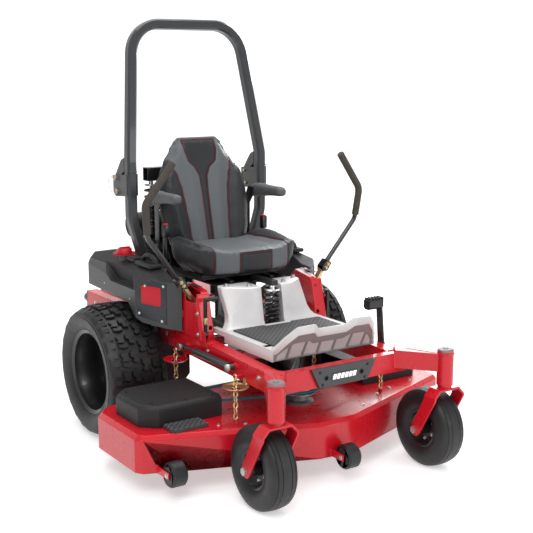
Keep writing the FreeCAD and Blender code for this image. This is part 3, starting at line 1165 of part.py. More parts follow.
def step_pad():
    body = padded("XY", [("-pad_x - pad_long/2", "pad_y - pad_wide/2 + 12"),
                         ("-pad_x - pad_long/2 + 14", "pad_y - pad_wide/2"),
                         ("-pad_x + pad_long/2", "pad_y - pad_wide/2"),
                         ("-pad_x + pad_long/2", "pad_y + pad_wide/2"),
                         ("-pad_x - pad_long/2", "pad_y + pad_wide/2")], "deck_high", "deck_high + pad_high")
    groove = [("-pad_x - pad_long/2 + 14", "pad_y - pad_wide/2 + 10"),
              ("-pad_x + pad_long/2 - 14", "pad_y - pad_wide/2 + 10"),
              ("-pad_x + pad_long/2 - 14", "pad_y - pad_wide/2 + 16"),
              ("-pad_x - pad_long/2 + 14", "pad_y - pad_wide/2 + 16")]
    for index in range(5):
        line = [(x, f"{y} + {index}*pad_wide/6.5") for x, y in groove]
        pocket(body, "XY", line, "deck_high + pad_high - 3", "deck_high + pad_high + 1")
    return body


def roller(x, y):
    wide = "roller_wide/2 - working_gap"
    outline = [(f"-({wide})", "roller_bore"), (f"-({wide})", "roller_radius - 8"),
               (f"-({wide}) + 8", "roller_radius"),
               (f"{wide} - 8", "roller_radius"), (wide, "roller_radius - 8"), (wide, "roller_bore")]
    return place(turned("XZ", outline), x, y, "roller_z")


keep(deck_shell(), "deck_shell")
left_cover = belt_cover()
keep(group(left_cover, mirrored(left_cover)), "belt_covers")
keep(step_pad(), "step_pad")
keep(group(*[spindle_housing(x, y) for x, y in SPINDLES.values()]), "spindle_housings")
keep(deck_belt(), "deck_belt")
for side, spot in SPINDLES.items():
    keep(spindle(*spot), "spindle_" + side)
for side, spot in ROLLERS.items():
    keep(roller(*spot), "roller_" + side)


# ---------------------------------------------------------------- engine and drives
def engine_block():
    """Crankcase on its foot with two finned cylinders that spread towards the rear."""
    outline = [("0", "crankcase_low"), ("engine_radius", "crankcase_low"),
               ("engine_radius", "crankcase_low + 14"),
               ("engine_radius - 34", "crankcase_low + 30"), ("engine_radius - 34", "shroud_low - 20"),
               ("engine_radius - 20", "shroud_low"), ("0", "shroud_low")]
    case = place(turned("XZ", outline, "V_Axis"), 0, "engine_y", 0)
    cylinders = []
    for turn in (45, -45):
        fins = [box(("-52", "52"), (f"engine_radius - 40 + {index}*18",
                                    f"engine_radius - 40 + {index}*18 + 6"),
                    ("crankcase_low + 34", "shroud_low + 20")) for index in range(5)]
        barrel = box(("-38", "38"), ("engine_radius - 70", "engine_radius + 62"),
                     ("crankcase_low + 44", "shroud_low + 10"))
        cylinders.append(place(fuse(barrel, *fins), 0, "engine_y", 0, (0, 0, 1), turn))
    whole = fuse(case, *cylinders)
    return cut(whole, rod("engine_shaft + running_gap", (0, "engine_y", "crankcase_low - 5"), 45))


def engine_shroud():
    """Blower housing with its round screen, and the air filter canister beside it."""
    outline = [("0", "shroud_low + 22"), ("engine_radius - 24", "shroud_low + 22"),
               ("engine_radius - 6", "shroud_low + 40"),
               ("engine_radius - 6", "shroud_high - 30"), ("engine_radius - 30", "shroud_high"),
               ("0", "shroud_high")]
    housing = place(turned("XZ", outline, "V_Axis"), 0, "engine_y", 0)
    screen = rod("engine_radius - 50", (0, "engine_y", "shroud_high - 1"), 40)
    neck = rod(30, ("filter_x", "filter_y", "shroud_high - 60"), "filter_high - shroud_high - 60")
    canister = rod("filter_radius", ("filter_x - filter_long/2", "filter_y", "filter_high - filter_radius"),
                   "filter_long", "x")
    seat = rod("engine_radius - 84", (0, "engine_y", "shroud_low"), 24)
    return fuse(housing, screen, neck, canister, seat)


def engine_guard():
    """Bent tube behind the engine on two end plates, with the hitch plate below its middle."""
    x, y = "rail_inner + rail_wide/2", "guard_rear - guard_radius"
    line = [(x, "rail_rear", "guard_z"), (x, y, "guard_z"), (f"-({x})", y, "guard_z"),
            (f"-({x})", "rail_rear", "guard_z")]
    tube = swept(line, "guard_radius*3", twelve_sided("guard_radius"))
    plate = box(("rail_inner", "rail_inner + rail_wide"), ("rail_rear", "rail_rear + 8"),
                ("rail_low", "rail_top"))
    hitch = box(("-hitch_half", "hitch_half"), ("guard_rear - hitch_deep", "guard_rear - 4"),
                ("guard_z - guard_radius - hitch_thick + 1", "guard_z - guard_radius + 1"))
    whole = fuse(tube, plate, mirrored(plate), hitch)
    return cut(whole, rod("hitch_bore", (0, "guard_rear - hitch_deep + 22", "guard_z - guard_radius*2"), 60))


def hydro_drive():
    """Hydrostatic drive under the rail, with its finned case and the axle of the drive wheel."""
    y, z = "rear_axle_y", "drive_tyre_radius"
    half = "hydro_deep/2"
    case = padded("XZ", [("hydro_inner", "hydro_low + 30"), ("hydro_inner", "hydro_high - 20"),
                         ("hydro_inner + 30", "hydro_high"), ("hydro_outer", "hydro_high"),
                         ("hydro_outer", "hydro_low + 40"),
                         ("hydro_outer - 50", "hydro_low"), ("hydro_inner + 30", "hydro_low")],
                  f"{y} - {half}", f"{y} + {half}")
    tube = rod("hub_radius - 4", ("hydro_outer - 1", y, z),
               "drive_wheel_x + dish_x - hub_long - hydro_outer - 3", "x")
    axle = rod("axle_radius", ("hydro_outer - 1", y, z),
               "drive_wheel_x + dish_x + dish_thick + 6 - hydro_outer", "x")
    cap = rod("axle_radius + 8", ("drive_wheel_x + dish_x + dish_thick + 0.5", y, z), 8, "x")
    fan = rod("hydro_deep/2 - 22", ("hydro_inner + 58", y, "hydro_high - 1"), 16)
    return fuse(case, tube, axle, cap, fan)


def crank_clutch():
    """Engine shaft with the electric clutch pulley on its lower end."""
    low, top = "clutch_low", "clutch_low + 70"
    outline = [("0", low), ("clutch_radius - 14", low), ("clutch_radius", f"{low} + 4"),
               ("clutch_radius", f"{low} + 12"),
               ("clutch_radius - 12", f"{low} + 16"), ("clutch_radius - 12", f"{low} + 28"),
               ("clutch_radius", f"{low} + 32"),
               ("clutch_radius", top), ("engine_shaft", top), ("engine_shaft", "crankcase_low + 38"),
               ("0", "crankcase_low + 38")]
    return place(turned("XZ", outline, "V_Axis"), 0, "engine_y", 0)


keep(engine_block(), "engine_block")
keep(engine_shroud(), "engine_shroud")
keep(engine_guard(), "engine_guard")
left_drive = hydro_drive()
keep(group(left_drive, mirrored(left_drive)), "hydro_drives")
keep(crank_clutch(), "crank_clutch")


# ---------------------------------------------------------------- check and export
doc.recompute()
faulty = [obj.Label for obj in doc.Objects if {"Invalid", "Error"} & set(obj.State)]
if faulty:
    raise RuntimeError("not built: " + ", ".join(faulty))
for node in NODES:
    if node.Shape.isNull() or not node.Shape.isValid():
        raise RuntimeError("bad shape: " + node.Label)
os.makedirs("parts", exist_ok=True)
for node in NODES:
    node.Shape.exportStep(f"parts/{node.Label}.step")
print(len(NODES), "pieces written")
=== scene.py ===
import json
import math

import bmesh
import bpy
import numpy as np
from mathutils import Matrix, Vector
from mathutils.bvhtree import BVHTree

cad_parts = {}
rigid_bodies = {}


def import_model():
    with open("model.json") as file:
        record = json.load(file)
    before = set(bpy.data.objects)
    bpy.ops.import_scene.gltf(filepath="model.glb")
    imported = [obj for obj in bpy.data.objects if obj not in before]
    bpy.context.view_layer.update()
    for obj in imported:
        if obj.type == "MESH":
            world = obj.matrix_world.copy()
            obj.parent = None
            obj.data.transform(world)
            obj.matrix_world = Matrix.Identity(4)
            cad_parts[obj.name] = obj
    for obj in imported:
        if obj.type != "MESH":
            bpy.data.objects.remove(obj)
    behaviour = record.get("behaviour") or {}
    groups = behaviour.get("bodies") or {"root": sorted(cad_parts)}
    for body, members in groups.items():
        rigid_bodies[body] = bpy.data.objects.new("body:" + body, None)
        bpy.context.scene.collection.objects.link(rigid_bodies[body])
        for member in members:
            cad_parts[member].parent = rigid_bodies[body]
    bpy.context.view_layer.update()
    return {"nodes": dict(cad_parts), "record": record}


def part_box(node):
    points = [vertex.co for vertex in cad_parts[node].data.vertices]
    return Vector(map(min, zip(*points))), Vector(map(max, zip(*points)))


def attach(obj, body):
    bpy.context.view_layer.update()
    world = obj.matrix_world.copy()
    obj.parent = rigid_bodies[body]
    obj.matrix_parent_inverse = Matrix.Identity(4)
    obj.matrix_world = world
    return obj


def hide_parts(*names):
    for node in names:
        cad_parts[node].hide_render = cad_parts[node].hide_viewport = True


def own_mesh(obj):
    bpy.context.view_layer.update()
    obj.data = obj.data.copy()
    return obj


# Zero turn mower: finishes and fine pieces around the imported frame. Metres, +Z up, the front of the
# machine towards -Y and the operator's left towards +X.
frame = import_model()

bl_info = {
    "name": "Zero Turn Mower",
    "version": (1, 0, 0),
    "blender": (4, 5, 0),
    "location": "View3D > Sidebar > Mower",
    "description": "Builds the finished pieces of a zero turn mower around its packed frame",
    "category": "Object",
}
BODY_OF = {node: body for body, nodes in frame["record"]["behaviour"]["bodies"].items() for node in nodes}
SLOT_OF = {row["node"]: row["material_slot"] for row in frame["record"]["subparts"]}
SIDES = (("left", 1), ("right", -1))
# Places that several pieces share: caster stems, lift chains, the lift strut's bolts and the roll bar's hinges;
# and the camera's turn.
STEM_X, STEM_Y = 0.417, -0.952
CHAIN_X, CHAIN_FRONT, CHAIN_REAR = 0.372, -0.600, -0.112
STRUT_ENDS, STRUT_Z = (-0.536, -0.146), 0.462
BAR_X, BAR_Y = 0.351, 0.325
CAMERA_TURN = math.radians(-33.685)


def colour_prop(name, description, default):
    return bpy.props.FloatVectorProperty(name=name, description=description, default=default, size=3,
                                         subtype="COLOR", min=0, max=1)


def length_prop(name, description, default):
    return bpy.props.FloatProperty(name=name, description=description, default=default, min=0,
                                   unit="LENGTH", precision=4)


class MowerColours(bpy.types.PropertyGroup):
    red: colour_prop("Red enamel", "Deck, frame, towers and forks", (0.56, 0.006, 0.016))
    charcoal: colour_prop("Charcoal enamel", "Roll bar and lamp panel", (0.030, 0.032, 0.035))
    black: colour_prop("Black enamel", "Rims, seat frame and levers", (0.008, 0.008, 0.009))
    moulding: colour_prop("Charcoal moulding", "Fenders", (0.050, 0.052, 0.054))
    badge_panel: colour_prop("Slate moulding", "Raised panel of the fenders", (0.028, 0.033, 0.039))
    black_moulding: colour_prop("Black moulding", "Belt covers and engine shroud", (0.011, 0.011, 0.012))
    silver: colour_prop("Silver", "Knee cover and foot platform", (0.60, 0.59, 0.59))
    dark_vinyl: colour_prop("Dark vinyl", "Seat bolsters and head panel", (0.013, 0.014, 0.016))
    light_vinyl: colour_prop("Light vinyl", "Seat wings and centre", (0.100, 0.111, 0.118))
    stitching: colour_prop("Stitching", "Seams of the seat", (0.085, 0.008, 0.014))
    tyre: colour_prop("Tyre rubber", "Tyres and rollers", (0.009, 0.009, 0.010))
    foam: colour_prop("Grip foam", "Lever grips", (0.055, 0.047, 0.040))
    armrest: colour_prop("Armrest", "Moulded armrests", (0.085, 0.090, 0.094))
    belt: colour_prop("Drive belt", "Deck belt", (0.015, 0.145, 0.190))
    zinc: colour_prop("Zinc", "Bolts and chains", (0.62, 0.62, 0.60))
    yellow_zinc: colour_prop("Yellow zinc", "Pins and lever stubs", (0.62, 0.44, 0.16))


class MowerSizes(bpy.types.PropertyGroup):
    fold_round: length_prop("Folded edge", "Rounding of folded and welded sheet", 0.003)
    mould_round: length_prop("Moulded edge", "Rounding of plastic mouldings", 0.006)
    piping: length_prop("Piping", "Radius of the seat's piping", 0.0022)
    tread_high: length_prop("Tread", "Depth of the drive tyres' tread", 0.014)
    tread_count: bpy.props.IntProperty(name="Tread blocks", description="Blocks round each tyre row",
                                       default=22, min=8, max=60)
    coil_turns: bpy.props.IntProperty(name="Coil turns", description="Turns of each shock's spring",
                                      default=8, min=3, max=20)
    bolt: length_prop("Bolt head", "Radius of a common bolt head", 0.0065)


def colour_of(name):
    return tuple(getattr(bpy.context.scene.mower_colours, name))


def sizes():
    return bpy.context.scene.mower_sizes


# ---------------------------------------------------------------- materials
class Finish:
    """A node material built step by step on Object coordinates."""

    def __init__(self, name, colour, roughness, metallic=0.0, **sockets):
        self.mat = bpy.data.materials.new(name)
        self.mat.use_nodes = True
        self.tree = self.mat.node_tree
        self.shader = self.tree.nodes["Principled BSDF"]
        self.place = self.add("ShaderNodeTexCoord").outputs["Object"]
        self.shader.inputs["Base Color"].default_value = (*colour, 1)
        self.shader.inputs["Roughness"].default_value = roughness
        self.shader.inputs["Metallic"].default_value = metallic
        for socket, value in sockets.items():
            self.shader.inputs[socket.replace("_", " ")].default_value = value

    def add(self, kind, **settings):
        node = self.tree.nodes.new(kind)
        for key, value in settings.items():
            setattr(node, key, value)
        return node

    def link(self, source, target):
        self.tree.links.new(source, target)
        return self

    def stretched(self, scale):
        node = self.add("ShaderNodeMapping")
        node.inputs["Scale"].default_value = scale
        self.link(self.place, node.inputs["Vector"])
        return node.outputs["Vector"]

    def noise(self, scale, detail=2.0, place=None, rough=0.5):
        node = self.add("ShaderNodeTexNoise")
        node.inputs["Scale"].default_value = scale
        node.inputs["Detail"].default_value = detail
        node.inputs["Roughness"].default_value = rough
        self.link(place or self.place, node.inputs["Vector"])
        return node.outputs["Fac"]

    def cells(self, scale):
        node = self.add("ShaderNodeTexVoronoi", feature="DISTANCE_TO_EDGE")
        node.inputs["Scale"].default_value = scale
        self.link(self.place, node.inputs["Vector"])
        return node.outputs["Distance"]

    def ribs(self, scale, direction="X", place=None):
        node = self.add("ShaderNodeTexWave", bands_direction=direction)
        node.inputs["Scale"].default_value = scale
        self.link(place or self.place, node.inputs["Vector"])
        return node.outputs["Fac"]

    def attribute(self, name):
        return self.add("ShaderNodeAttribute", attribute_name=name).outputs["Fac"]

    def ramp(self, value, stops, hard=False):
        node = self.add("ShaderNodeValToRGB")
        if hard:
            node.color_ramp.interpolation = "CONSTANT"
        bands = node.color_ramp.elements
        while len(bands) < len(stops):
            bands.new(0.5)
        for band, (where, colour) in zip(bands, stops):
            band.position = where
            band.color = (*colour, 1) if not isinstance(colour, float) else (colour, colour, colour, 1)
        self.link(value, node.inputs["Fac"])
        return node.outputs["Color"]

    def math(self, operation, first, second):
        node = self.add("ShaderNodeMath", operation=operation)
        for socket, value in zip(node.inputs, (first, second)):
            if isinstance(value, (int, float)):
                socket.default_value = value
            else:
                self.link(value, socket)
        return node.outputs["Value"]

    def mix(self, factor, first, second):
        node = self.add("ShaderNodeMix", data_type="RGBA")
        for key, value in (("Factor", factor), (6, first), (7, second)):
            socket = node.inputs[key]
            if isinstance(value, (int, float)):
                socket.default_value = value
            elif isinstance(value, tuple):
                socket.default_value = (*value, 1)
            else:
                self.link(value, socket)
        return node.outputs[2]

    def colour(self, source):
        return self.link(source, self.shader.inputs["Base Color"])

    def rough(self, source, low, high):
        node = self.add("ShaderNodeMapRange")
        node.inputs["To Min"].default_value = low
        node.inputs["To Max"].default_value = high
        self.link(source, node.inputs["Value"])
        return self.link(node.outputs["Result"], self.shader.inputs["Roughness"])

    def bump(self, source, height):
        """Add a relief of a real height in metres on top of any that is already there."""
        node = self.add("ShaderNodeBump")
        node.inputs["Distance"].default_value = height
        node.inputs["Strength"].default_value = 1.0
        self.link(source, node.inputs["Height"])
        normal = self.shader.inputs["Normal"]
        if normal.links:
            self.link(normal.links[0].from_socket, node.inputs["Normal"])
        return self.link(node.outputs["Normal"], normal)


def shade(colour, factor):
    return tuple(min(1.0, channel * factor) for channel in colour)


def enamel(name, colour, roughness, coat, drift=0.10):
    """Sprayed enamel with faint orange peel and a slightly uneven tone and gloss."""
    finish = Finish(name, colour, roughness, Coat_Weight=coat, Coat_Roughness=0.06, Specular_IOR_Level=0.35)
    finish.colour(finish.mix(finish.noise(3.0, 5.0), shade(colour, 1 - drift), shade(colour, 1 + drift)))
    finish.rough(finish.noise(24.0, 3.0), roughness * 0.8, roughness * 1.25)
    finish.bump(finish.noise(150.0, 1.0), 0.00003)
    return finish.mat


def moulding(name, colour, roughness, grain=900.0, depth=0.00012):
    """Moulded plastic with a fine leather-like grain and slight scuffs."""
    finish = Finish(name, colour, roughness, Specular_IOR_Level=0.4)
    scuffs = finish.ramp(finish.noise(38.0, 6.0, rough=0.7), [(0.60, 0.0), (0.80, 0.2)])
    finish.colour(finish.mix(scuffs, shade(colour, 0.95), shade(colour, 1.5)))
    finish.rough(finish.noise(60.0, 3.0), roughness * 0.85, min(1.0, roughness * 1.2))
    finish.bump(finish.cells(grain), depth)
    return finish.mat


def tyre_rubber(name, colour):
    """Black rubber with a low sheen, a little greyer where it is rubbed."""
    finish = Finish(name, colour, 0.46, Specular_IOR_Level=0.45)
    worn = finish.ramp(finish.noise(14.0, 6.0, rough=0.65), [(0.50, 0.0), (0.80, 0.35)])
    finish.colour(finish.mix(worn, colour, (0.030, 0.029, 0.028)))
    finish.rough(finish.noise(50.0, 4.0), 0.36, 0.62)
    finish.bump(finish.noise(520.0, 3.0), 0.00016)
    return finish.mat


def metal(name, colour, roughness, tint=None):
    """Bare or plated metal with fine working marks and, on plating, a drifting tint."""
    finish = Finish(name, colour, roughness, 1.0)
    if tint:
        other = tint if isinstance(tint, tuple) else shade(colour, tint)
        finish.colour(finish.mix(finish.noise(45.0, 3.0), colour, other))
    marks = finish.noise(1.0, 4.0, finish.stretched((6.0, 260.0, 260.0)))
    finish.rough(marks, roughness * 0.7, roughness * 1.5)
    finish.bump(marks, 0.00004)
    return finish.mat


def vinyl(name):
    """Upholstery vinyl: the piece's own attributes say which panel a point is in and how near a seam."""
    main, panel, seam = colour_of("dark_vinyl"), colour_of("light_vinyl"), colour_of("stitching")
    finish = Finish(name, main, 0.46, Sheen_Weight=0.04, Specular_IOR_Level=0.4)
    side = finish.ramp(finish.attribute("panel"), [(0.0, main), (0.5, panel)], True)
    worn = finish.mix(finish.noise(9.0, 4.0), (0.9, 0.9, 0.9), (1.0, 1.0, 1.0))
    node = finish.add("ShaderNodeMix", data_type="RGBA", blend_type="MULTIPLY")
    node.inputs["Factor"].default_value = 1.0
    finish.link(side, node.inputs[6]).link(worn, node.inputs[7])
    thread = finish.ramp(finish.attribute("seam"), [(0.0, 1.0), (0.16, 0.0)], True)
    finish.colour(finish.mix(thread, node.outputs[2], seam))
    finish.rough(finish.noise(30.0, 3.0), 0.38, 0.58)
    finish.bump(finish.cells(420.0), 0.00022)
    finish.bump(finish.noise(1400.0, 2.0), 0.00008)
    return finish.mat


def foam_grip(name, colour):
    finish = Finish(name, colour, 0.9)
    finish.colour(finish.mix(finish.noise(70.0, 5.0), shade(colour, 0.75), shade(colour, 1.35)))
    finish.bump(finish.cells(900.0), 0.0003)
    return finish.mat


def ribbed_rubber(name, colour, pitch):
    """Rubber mat with a raised diamond pattern."""
    finish = Finish(name, colour, 0.7)
    first = finish.ribs(pitch, "DIAGONAL")
    turned = finish.add("ShaderNodeMapping")
    turned.inputs["Rotation"].default_value = (0, 0, math.pi / 2)
    finish.link(finish.place, turned.inputs["Vector"])
    second = finish.ribs(pitch, "DIAGONAL", turned.outputs["Vector"])
    lines = finish.math("MAXIMUM", first, second)
    tread = finish.ramp(lines, [(0.72, 0.0), (0.9, 1.0)])
    finish.colour(finish.mix(tread, colour, shade(colour, 4.0)))
    finish.bump(tread, 0.0018)
    return finish.mat


def brushed(name, colour, level=1.0):
    """Silver paint with a fine drawn grain, as on the knee cover; a level below one darkens it as painted shade."""
    colour = shade(colour, level)
    finish = Finish(name, colour, 0.42, 0.12, Coat_Weight=0.1, Coat_Roughness=0.2)
    grain = finish.noise(1.0, 5.0, finish.stretched((9.0, 320.0, 9.0)))
    finish.colour(finish.mix(grain, shade(colour, 0.92), shade(colour, 1.08)))
    finish.rough(grain, 0.34, 0.55)
    finish.bump(grain, 0.00005)
    return finish.mat


def lamp_glow(name):
    finish = Finish(name, (0.95, 0.95, 0.97), 0.3, Emission_Color=(1, 1, 1, 1), Emission_Strength=0.55)
    finish.bump(finish.cells(500.0), 0.0003)
    return finish.mat


def cast_metal(name, colour):
    finish = Finish(name, colour, 0.55, 0.85)
    finish.colour(finish.mix(finish.noise(18.0, 5.0), shade(colour, 0.7), shade(colour, 1.2)))
    finish.bump(finish.noise(260.0, 3.0), 0.0003)
    return finish.mat


def woven_belt(name, colour):
    finish = Finish(name, colour, 0.75)
    weave = finish.math("MULTIPLY", finish.ribs(260.0, "X"), finish.ribs(260.0, "Z"))
    finish.colour(finish.mix(weave, shade(colour, 0.7), shade(colour, 1.3)))
    finish.bump(weave, 0.0002)
    return finish.mat


RECIPES = {
    "red": (enamel, "red enamel", "red", 0.28, 0.22),
    "charcoal": (enamel, "charcoal enamel", "charcoal", 0.34, 0.35),
    "black": (enamel, "black enamel", "black", 0.36, 0.3),
    "black_gloss": (enamel, "gloss black enamel", (0.008, 0.008, 0.009), 0.18, 0.6),
    # Painted highlight: pinkish white standing for the lamps' glare on the far tower's red top.
    "pale_plate": (enamel, "pale plate", (0.62, 0.44, 0.44), 0.34, 0.2),
    "lamp_glass": (enamel, "smoked lens", (0.10, 0.10, 0.11), 0.12, 0.5),
    "fender": (moulding, "fender moulding", "moulding", 0.42),
    "badge_panel": (moulding, "slate moulding", "badge_panel", 0.36, 1400.0, 0.00006),
    "moulding": (moulding, "black moulding", "black_moulding", 0.55, 700.0, 0.0002),
    "armrest": (moulding, "armrest moulding", "armrest", 0.5, 1200.0, 0.0001),
    "red_moulding": (moulding, "red moulding", "red", 0.4),
    "piping": (moulding, "piping", "stitching", 0.5, 900.0, 0.0001),
    "silver": (brushed, "silver cover", "silver"),
    # Painted shade: the darker silver stands for the shadow and the red frame's reflection on the toe guard's
    # forward-leaning face.
    "silver_shade": (brushed, "silver guard face", "silver", 0.42),
    "tyre": (tyre_rubber, "tyre rubber", "tyre"),
    "mat": (ribbed_rubber, "rubber mat", (0.022, 0.022, 0.023), 26.0),
    "foam": (foam_grip, "grip foam", "foam"),
    "zinc": (metal, "zinc plate", "zinc", 0.34, 0.8),
    "yellow_zinc": (metal, "yellow zinc", "yellow_zinc", 0.32, (0.66, 0.52, 0.36)),
    "steel": (metal, "plain steel", (0.36, 0.36, 0.37), 0.4),
    "chrome": (metal, "polished rod", (0.75, 0.75, 0.76), 0.12),
    "cast": (cast_metal, "cast metal", (0.22, 0.22, 0.23)),
    "belt": (woven_belt, "wrapped belt", "belt"),
    "vinyl": (vinyl, "seat vinyl"),
    "glow": (lamp_glow, "lamp emitters"),
}
PAINTS = {}


def paint(name):
    """The named finish, made once; a recipe names its colour or gives it."""
    if name not in PAINTS:
        make, title, *values = RECIPES[name]
        if values and isinstance(values[0], str):
            values[0] = colour_of(values[0])
        PAINTS[name] = make(title, *values)
    return PAINTS[name]


# ---------------------------------------------------------------- mesh tools
def placed(name, data):
    """An object of some data, linked to the scene."""
    obj = bpy.data.objects.new(name, data)
    bpy.context.scene.collection.objects.link(obj)
    return obj


def piece_from(name, mesh, finish, body, slot=None, replaces=(), smooth=True):
    """Make an object of a finished mesh, give it a finish and let it ride on a body."""
    obj = placed(name, mesh)
    if not mesh.materials:
        for one in finish if isinstance(finish, tuple) else (finish,):
            mesh.materials.append(paint(one))
    if smooth:
        mesh.shade_smooth()
        mesh.set_sharp_from_angle(angle=math.radians(38))
    if replaces:
        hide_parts(*replaces)
    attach(obj, body)
    return obj


def mesh_of(bm, name):
    bmesh.ops.remove_doubles(bm, verts=bm.verts, dist=1e-6)
    bmesh.ops.recalc_face_normals(bm, faces=bm.faces)
    mesh = bpy.data.meshes.new(name)
    bm.to_mesh(mesh)
    bm.free()
    return mesh


def baked(obj):
    """The object's mesh with its modifiers applied, as a plain mesh."""
    graph = bpy.context.evaluated_depsgraph_get()
    graph.update()
    mesh = bpy.data.meshes.new_from_object(obj.evaluated_get(graph), preserve_all_data_layers=True,
                                           depsgraph=graph)
    for modifier in list(obj.modifiers):
        obj.modifiers.remove(modifier)
    return mesh


def shaped(obj):
    """The object's finished mesh; the object goes."""
    mesh = baked(obj)
    bpy.data.objects.remove(obj)
    return mesh


def bevel(obj, width, segments=2):
    modifier = obj.modifiers.new("edges", "BEVEL")
    modifier.width = width
    modifier.segments = segments
    modifier.limit_method = "ANGLE"
    modifier.angle_limit = math.radians(SHARP)
    modifier.use_clamp_overlap = True
    modifier.harden_normals = False
    return modifier


def subdivide(obj, levels):
    finer = obj.modifiers.new("finer", "SUBSURF")
    finer.levels = finer.render_levels = levels


SHARP = 32


def edge_room(bm, width):
    """Give each sharp edge a bevel weight that fits the shortest edge and the narrowest face beside it."""
    weights = bm.edges.layers.float.new("bevel_weight_edge")
    for edge in bm.edges:
        if len(edge.link_faces) != 2 or edge.calc_face_angle(0.0) < math.radians(SHARP):
            continue
        near = [other.calc_length() for vert in edge.verts for other in vert.link_edges if other is not edge]
        widths = [2 * face.calc_area() / face.calc_perimeter() for face in edge.link_faces]
        room = min(near + widths + [edge.calc_length() * 2])
        edge[weights] = max(0.04, min(1.0, 0.42 * room / width))


def soften(node, finish, width, segments=2, reshape=None, choose=None):
    """Stand in for a CAD node with the same form, its folds and edges rounded."""
    bm = bmesh.new()
    bm.from_mesh(frame["nodes"][node].data)
    bmesh.ops.remove_doubles(bm, verts=bm.verts, dist=2e-5)
    bmesh.ops.dissolve_limit(bm, angle_limit=math.radians(1.0), verts=bm.verts, edges=bm.edges)
    if reshape:
        reshape(bm)
    edge_room(bm, width)
    mesh = bpy.data.meshes.new(node + "_form")
    bm.to_mesh(mesh)
    bm.free()
    obj = placed(node + "_form", mesh)
    modifier = bevel(obj, width, segments)
    modifier.limit_method = "WEIGHT"
    modifier.use_clamp_overlap = False
    obj.modifiers.new("level", "WEIGHTED_NORMAL").keep_sharp = True
    mesh.shade_smooth()
    mesh = shaped(obj)
    mesh.materials.clear()
    if choose:
        for one in finish:
            mesh.materials.append(paint(one))
        for poly in mesh.polygons:
            poly.material_index = choose(poly.center, poly.normal)
    return piece_from(node + "_finish", mesh, finish, BODY_OF[node], SLOT_OF[node], (node,), False)


def dress(finish, *nodes):
    """Give CAD nodes that keep their own form a finish."""
    for node in nodes:
        painted(frame["nodes"][node].data, finish)


def circle(centre, radius, count):
    """Points of a level circle about a centre."""
    x, y, z = centre
    angles = [math.tau * k / count for k in range(count)]
    return [Vector((x + radius * math.cos(a), y + radius * math.sin(a), z)) for a in angles]


def lathe(bm, profile, steps, centre=(0, 0, 0), axis="X"):
    """Turn a profile of (along, radius) pairs round an axis through a centre."""
    rings = []
    for k in range(steps):
        angle = 2 * math.pi * k / steps
        ring = []
        for along, radius in profile:
            c, s = radius * math.cos(angle), radius * math.sin(angle)
            spot = {"X": (along, c, s), "Y": (c, along, s), "Z": (c, s, along)}[axis]
            ring.append(bm.verts.new(Vector(spot) + Vector(centre)))
        rings.append(ring)
    for a, b in zip(rings, rings[1:] + rings[:1]):
        for i in range(len(profile) - 1):
            bm.faces.new((a[i], a[i + 1], b[i + 1], b[i]))


def smooth_line(points, steps=8):
    """A smooth line through given points."""
    spots = [Vector(p) for p in points]
    spots = [spots[0] * 2 - spots[1]] + spots + [spots[-1] * 2 - spots[-2]]
    line = []
    for a, b, c, d in zip(spots, spots[1:], spots[2:], spots[3:]):
        for i in range(steps):
            t = i / steps
            line.append(0.5 * ((2 * b) + (c - a) * t + (2 * a - 5 * b + 4 * c - d) * t * t
                               + (3 * b - a - 3 * c + d) * t ** 3))
    return line + [spots[-2]]


def loft(bm, rings, caps=True, material=None):
    """Join rings of points with faces, close both ends and give the faces of each ring's sides a material."""
    sides = []
    count = len(rings[0])
    for a, b in zip(rings, rings[1:]):
        for i in range(count):
            j = (i + 1) % count
            face = bm.faces.new((a[i], a[j], b[j], b[i]))
            face.material_index = material(i) if material else 0
            sides.append(face)
    if caps:
        bm.faces.new(rings[0])
        bm.faces.new(rings[-1])
    return sides


def tube(bm, line, radius, sides=10, closed=False):
    """Sweep a round section along a line of points."""
    count = len(line)
    rings, side = [], None
    for i, spot in enumerate(line):
        before = line[(i - 1) % count] if (i or closed) else spot
        after = line[(i + 1) % count] if (i < count - 1 or closed) else spot
        way = (after - before).normalized()
        if side is None:
            side = way.orthogonal().normalized()
        side = (side - way * side.dot(way)).normalized()
        other = way.cross(side)
        wide = radius(i / (count - 1)) if callable(radius) else radius
        rings.append([bm.verts.new(spot + (side * math.cos(a) + other * math.sin(a)) * wide)
                      for a in (2 * math.pi * k / sides for k in range(sides))])
    loft(bm, rings + rings[:1] if closed else rings, False)
    if not closed:
        bm.faces.new(rings[0][::-1])
        bm.faces.new(rings[-1])


def block(bm, low, high):
    """A box between two corners."""
    middle = (Vector(low) + Vector(high)) / 2
    span = Vector(high) - Vector(low)
    bmesh.ops.create_cube(bm, size=1, matrix=Matrix.Translation(middle) @ Matrix.Diagonal((*span, 1)))


def side_block(bm, side, inner, outer, front, rear, low, high):
    """A box on one side of the machine, between its inner and outer distances from the middle."""
    across = sorted((side * inner, side * outer))
    block(bm, (across[0], front, low), (across[1], rear, high))


def plate(bm, outline, low, high, plane="XY"):
    """Extrude an outline between two levels, on a plane or by a rule that places (p, level)."""
    def spot(p, level):
        if callable(plane):
            return plane(p, level)
        return {"XY": (p[0], p[1], level), "XZ": (p[0], level, p[1])}[plane]
    bottom = [bm.verts.new(spot(p, low)) for p in outline]
    top = [bm.verts.new(spot(p, high)) for p in outline]
    bm.faces.new(bottom)
    bm.faces.new(top)
    loft(bm, (bottom, top), False)


def bolt_head(bm, centre, axis, radius, high):
    """A hexagon head with a washer, standing on its centre along an axis."""
    turn = Vector((0, 0, 1)).rotation_difference(Vector(axis)).to_matrix().to_4x4()
    for sides, wide, low, top in ((16, radius * 1.45, 0, high * 0.22), (6, radius, high * 0.2, high)):
        matrix = Matrix.Translation(centre) @ turn @ Matrix.Translation((0, 0, (low + top) / 2))
        bmesh.ops.create_cone(bm, cap_ends=True, segments=sides, radius1=wide, radius2=wide * 0.94,
                              depth=top - low, matrix=matrix)


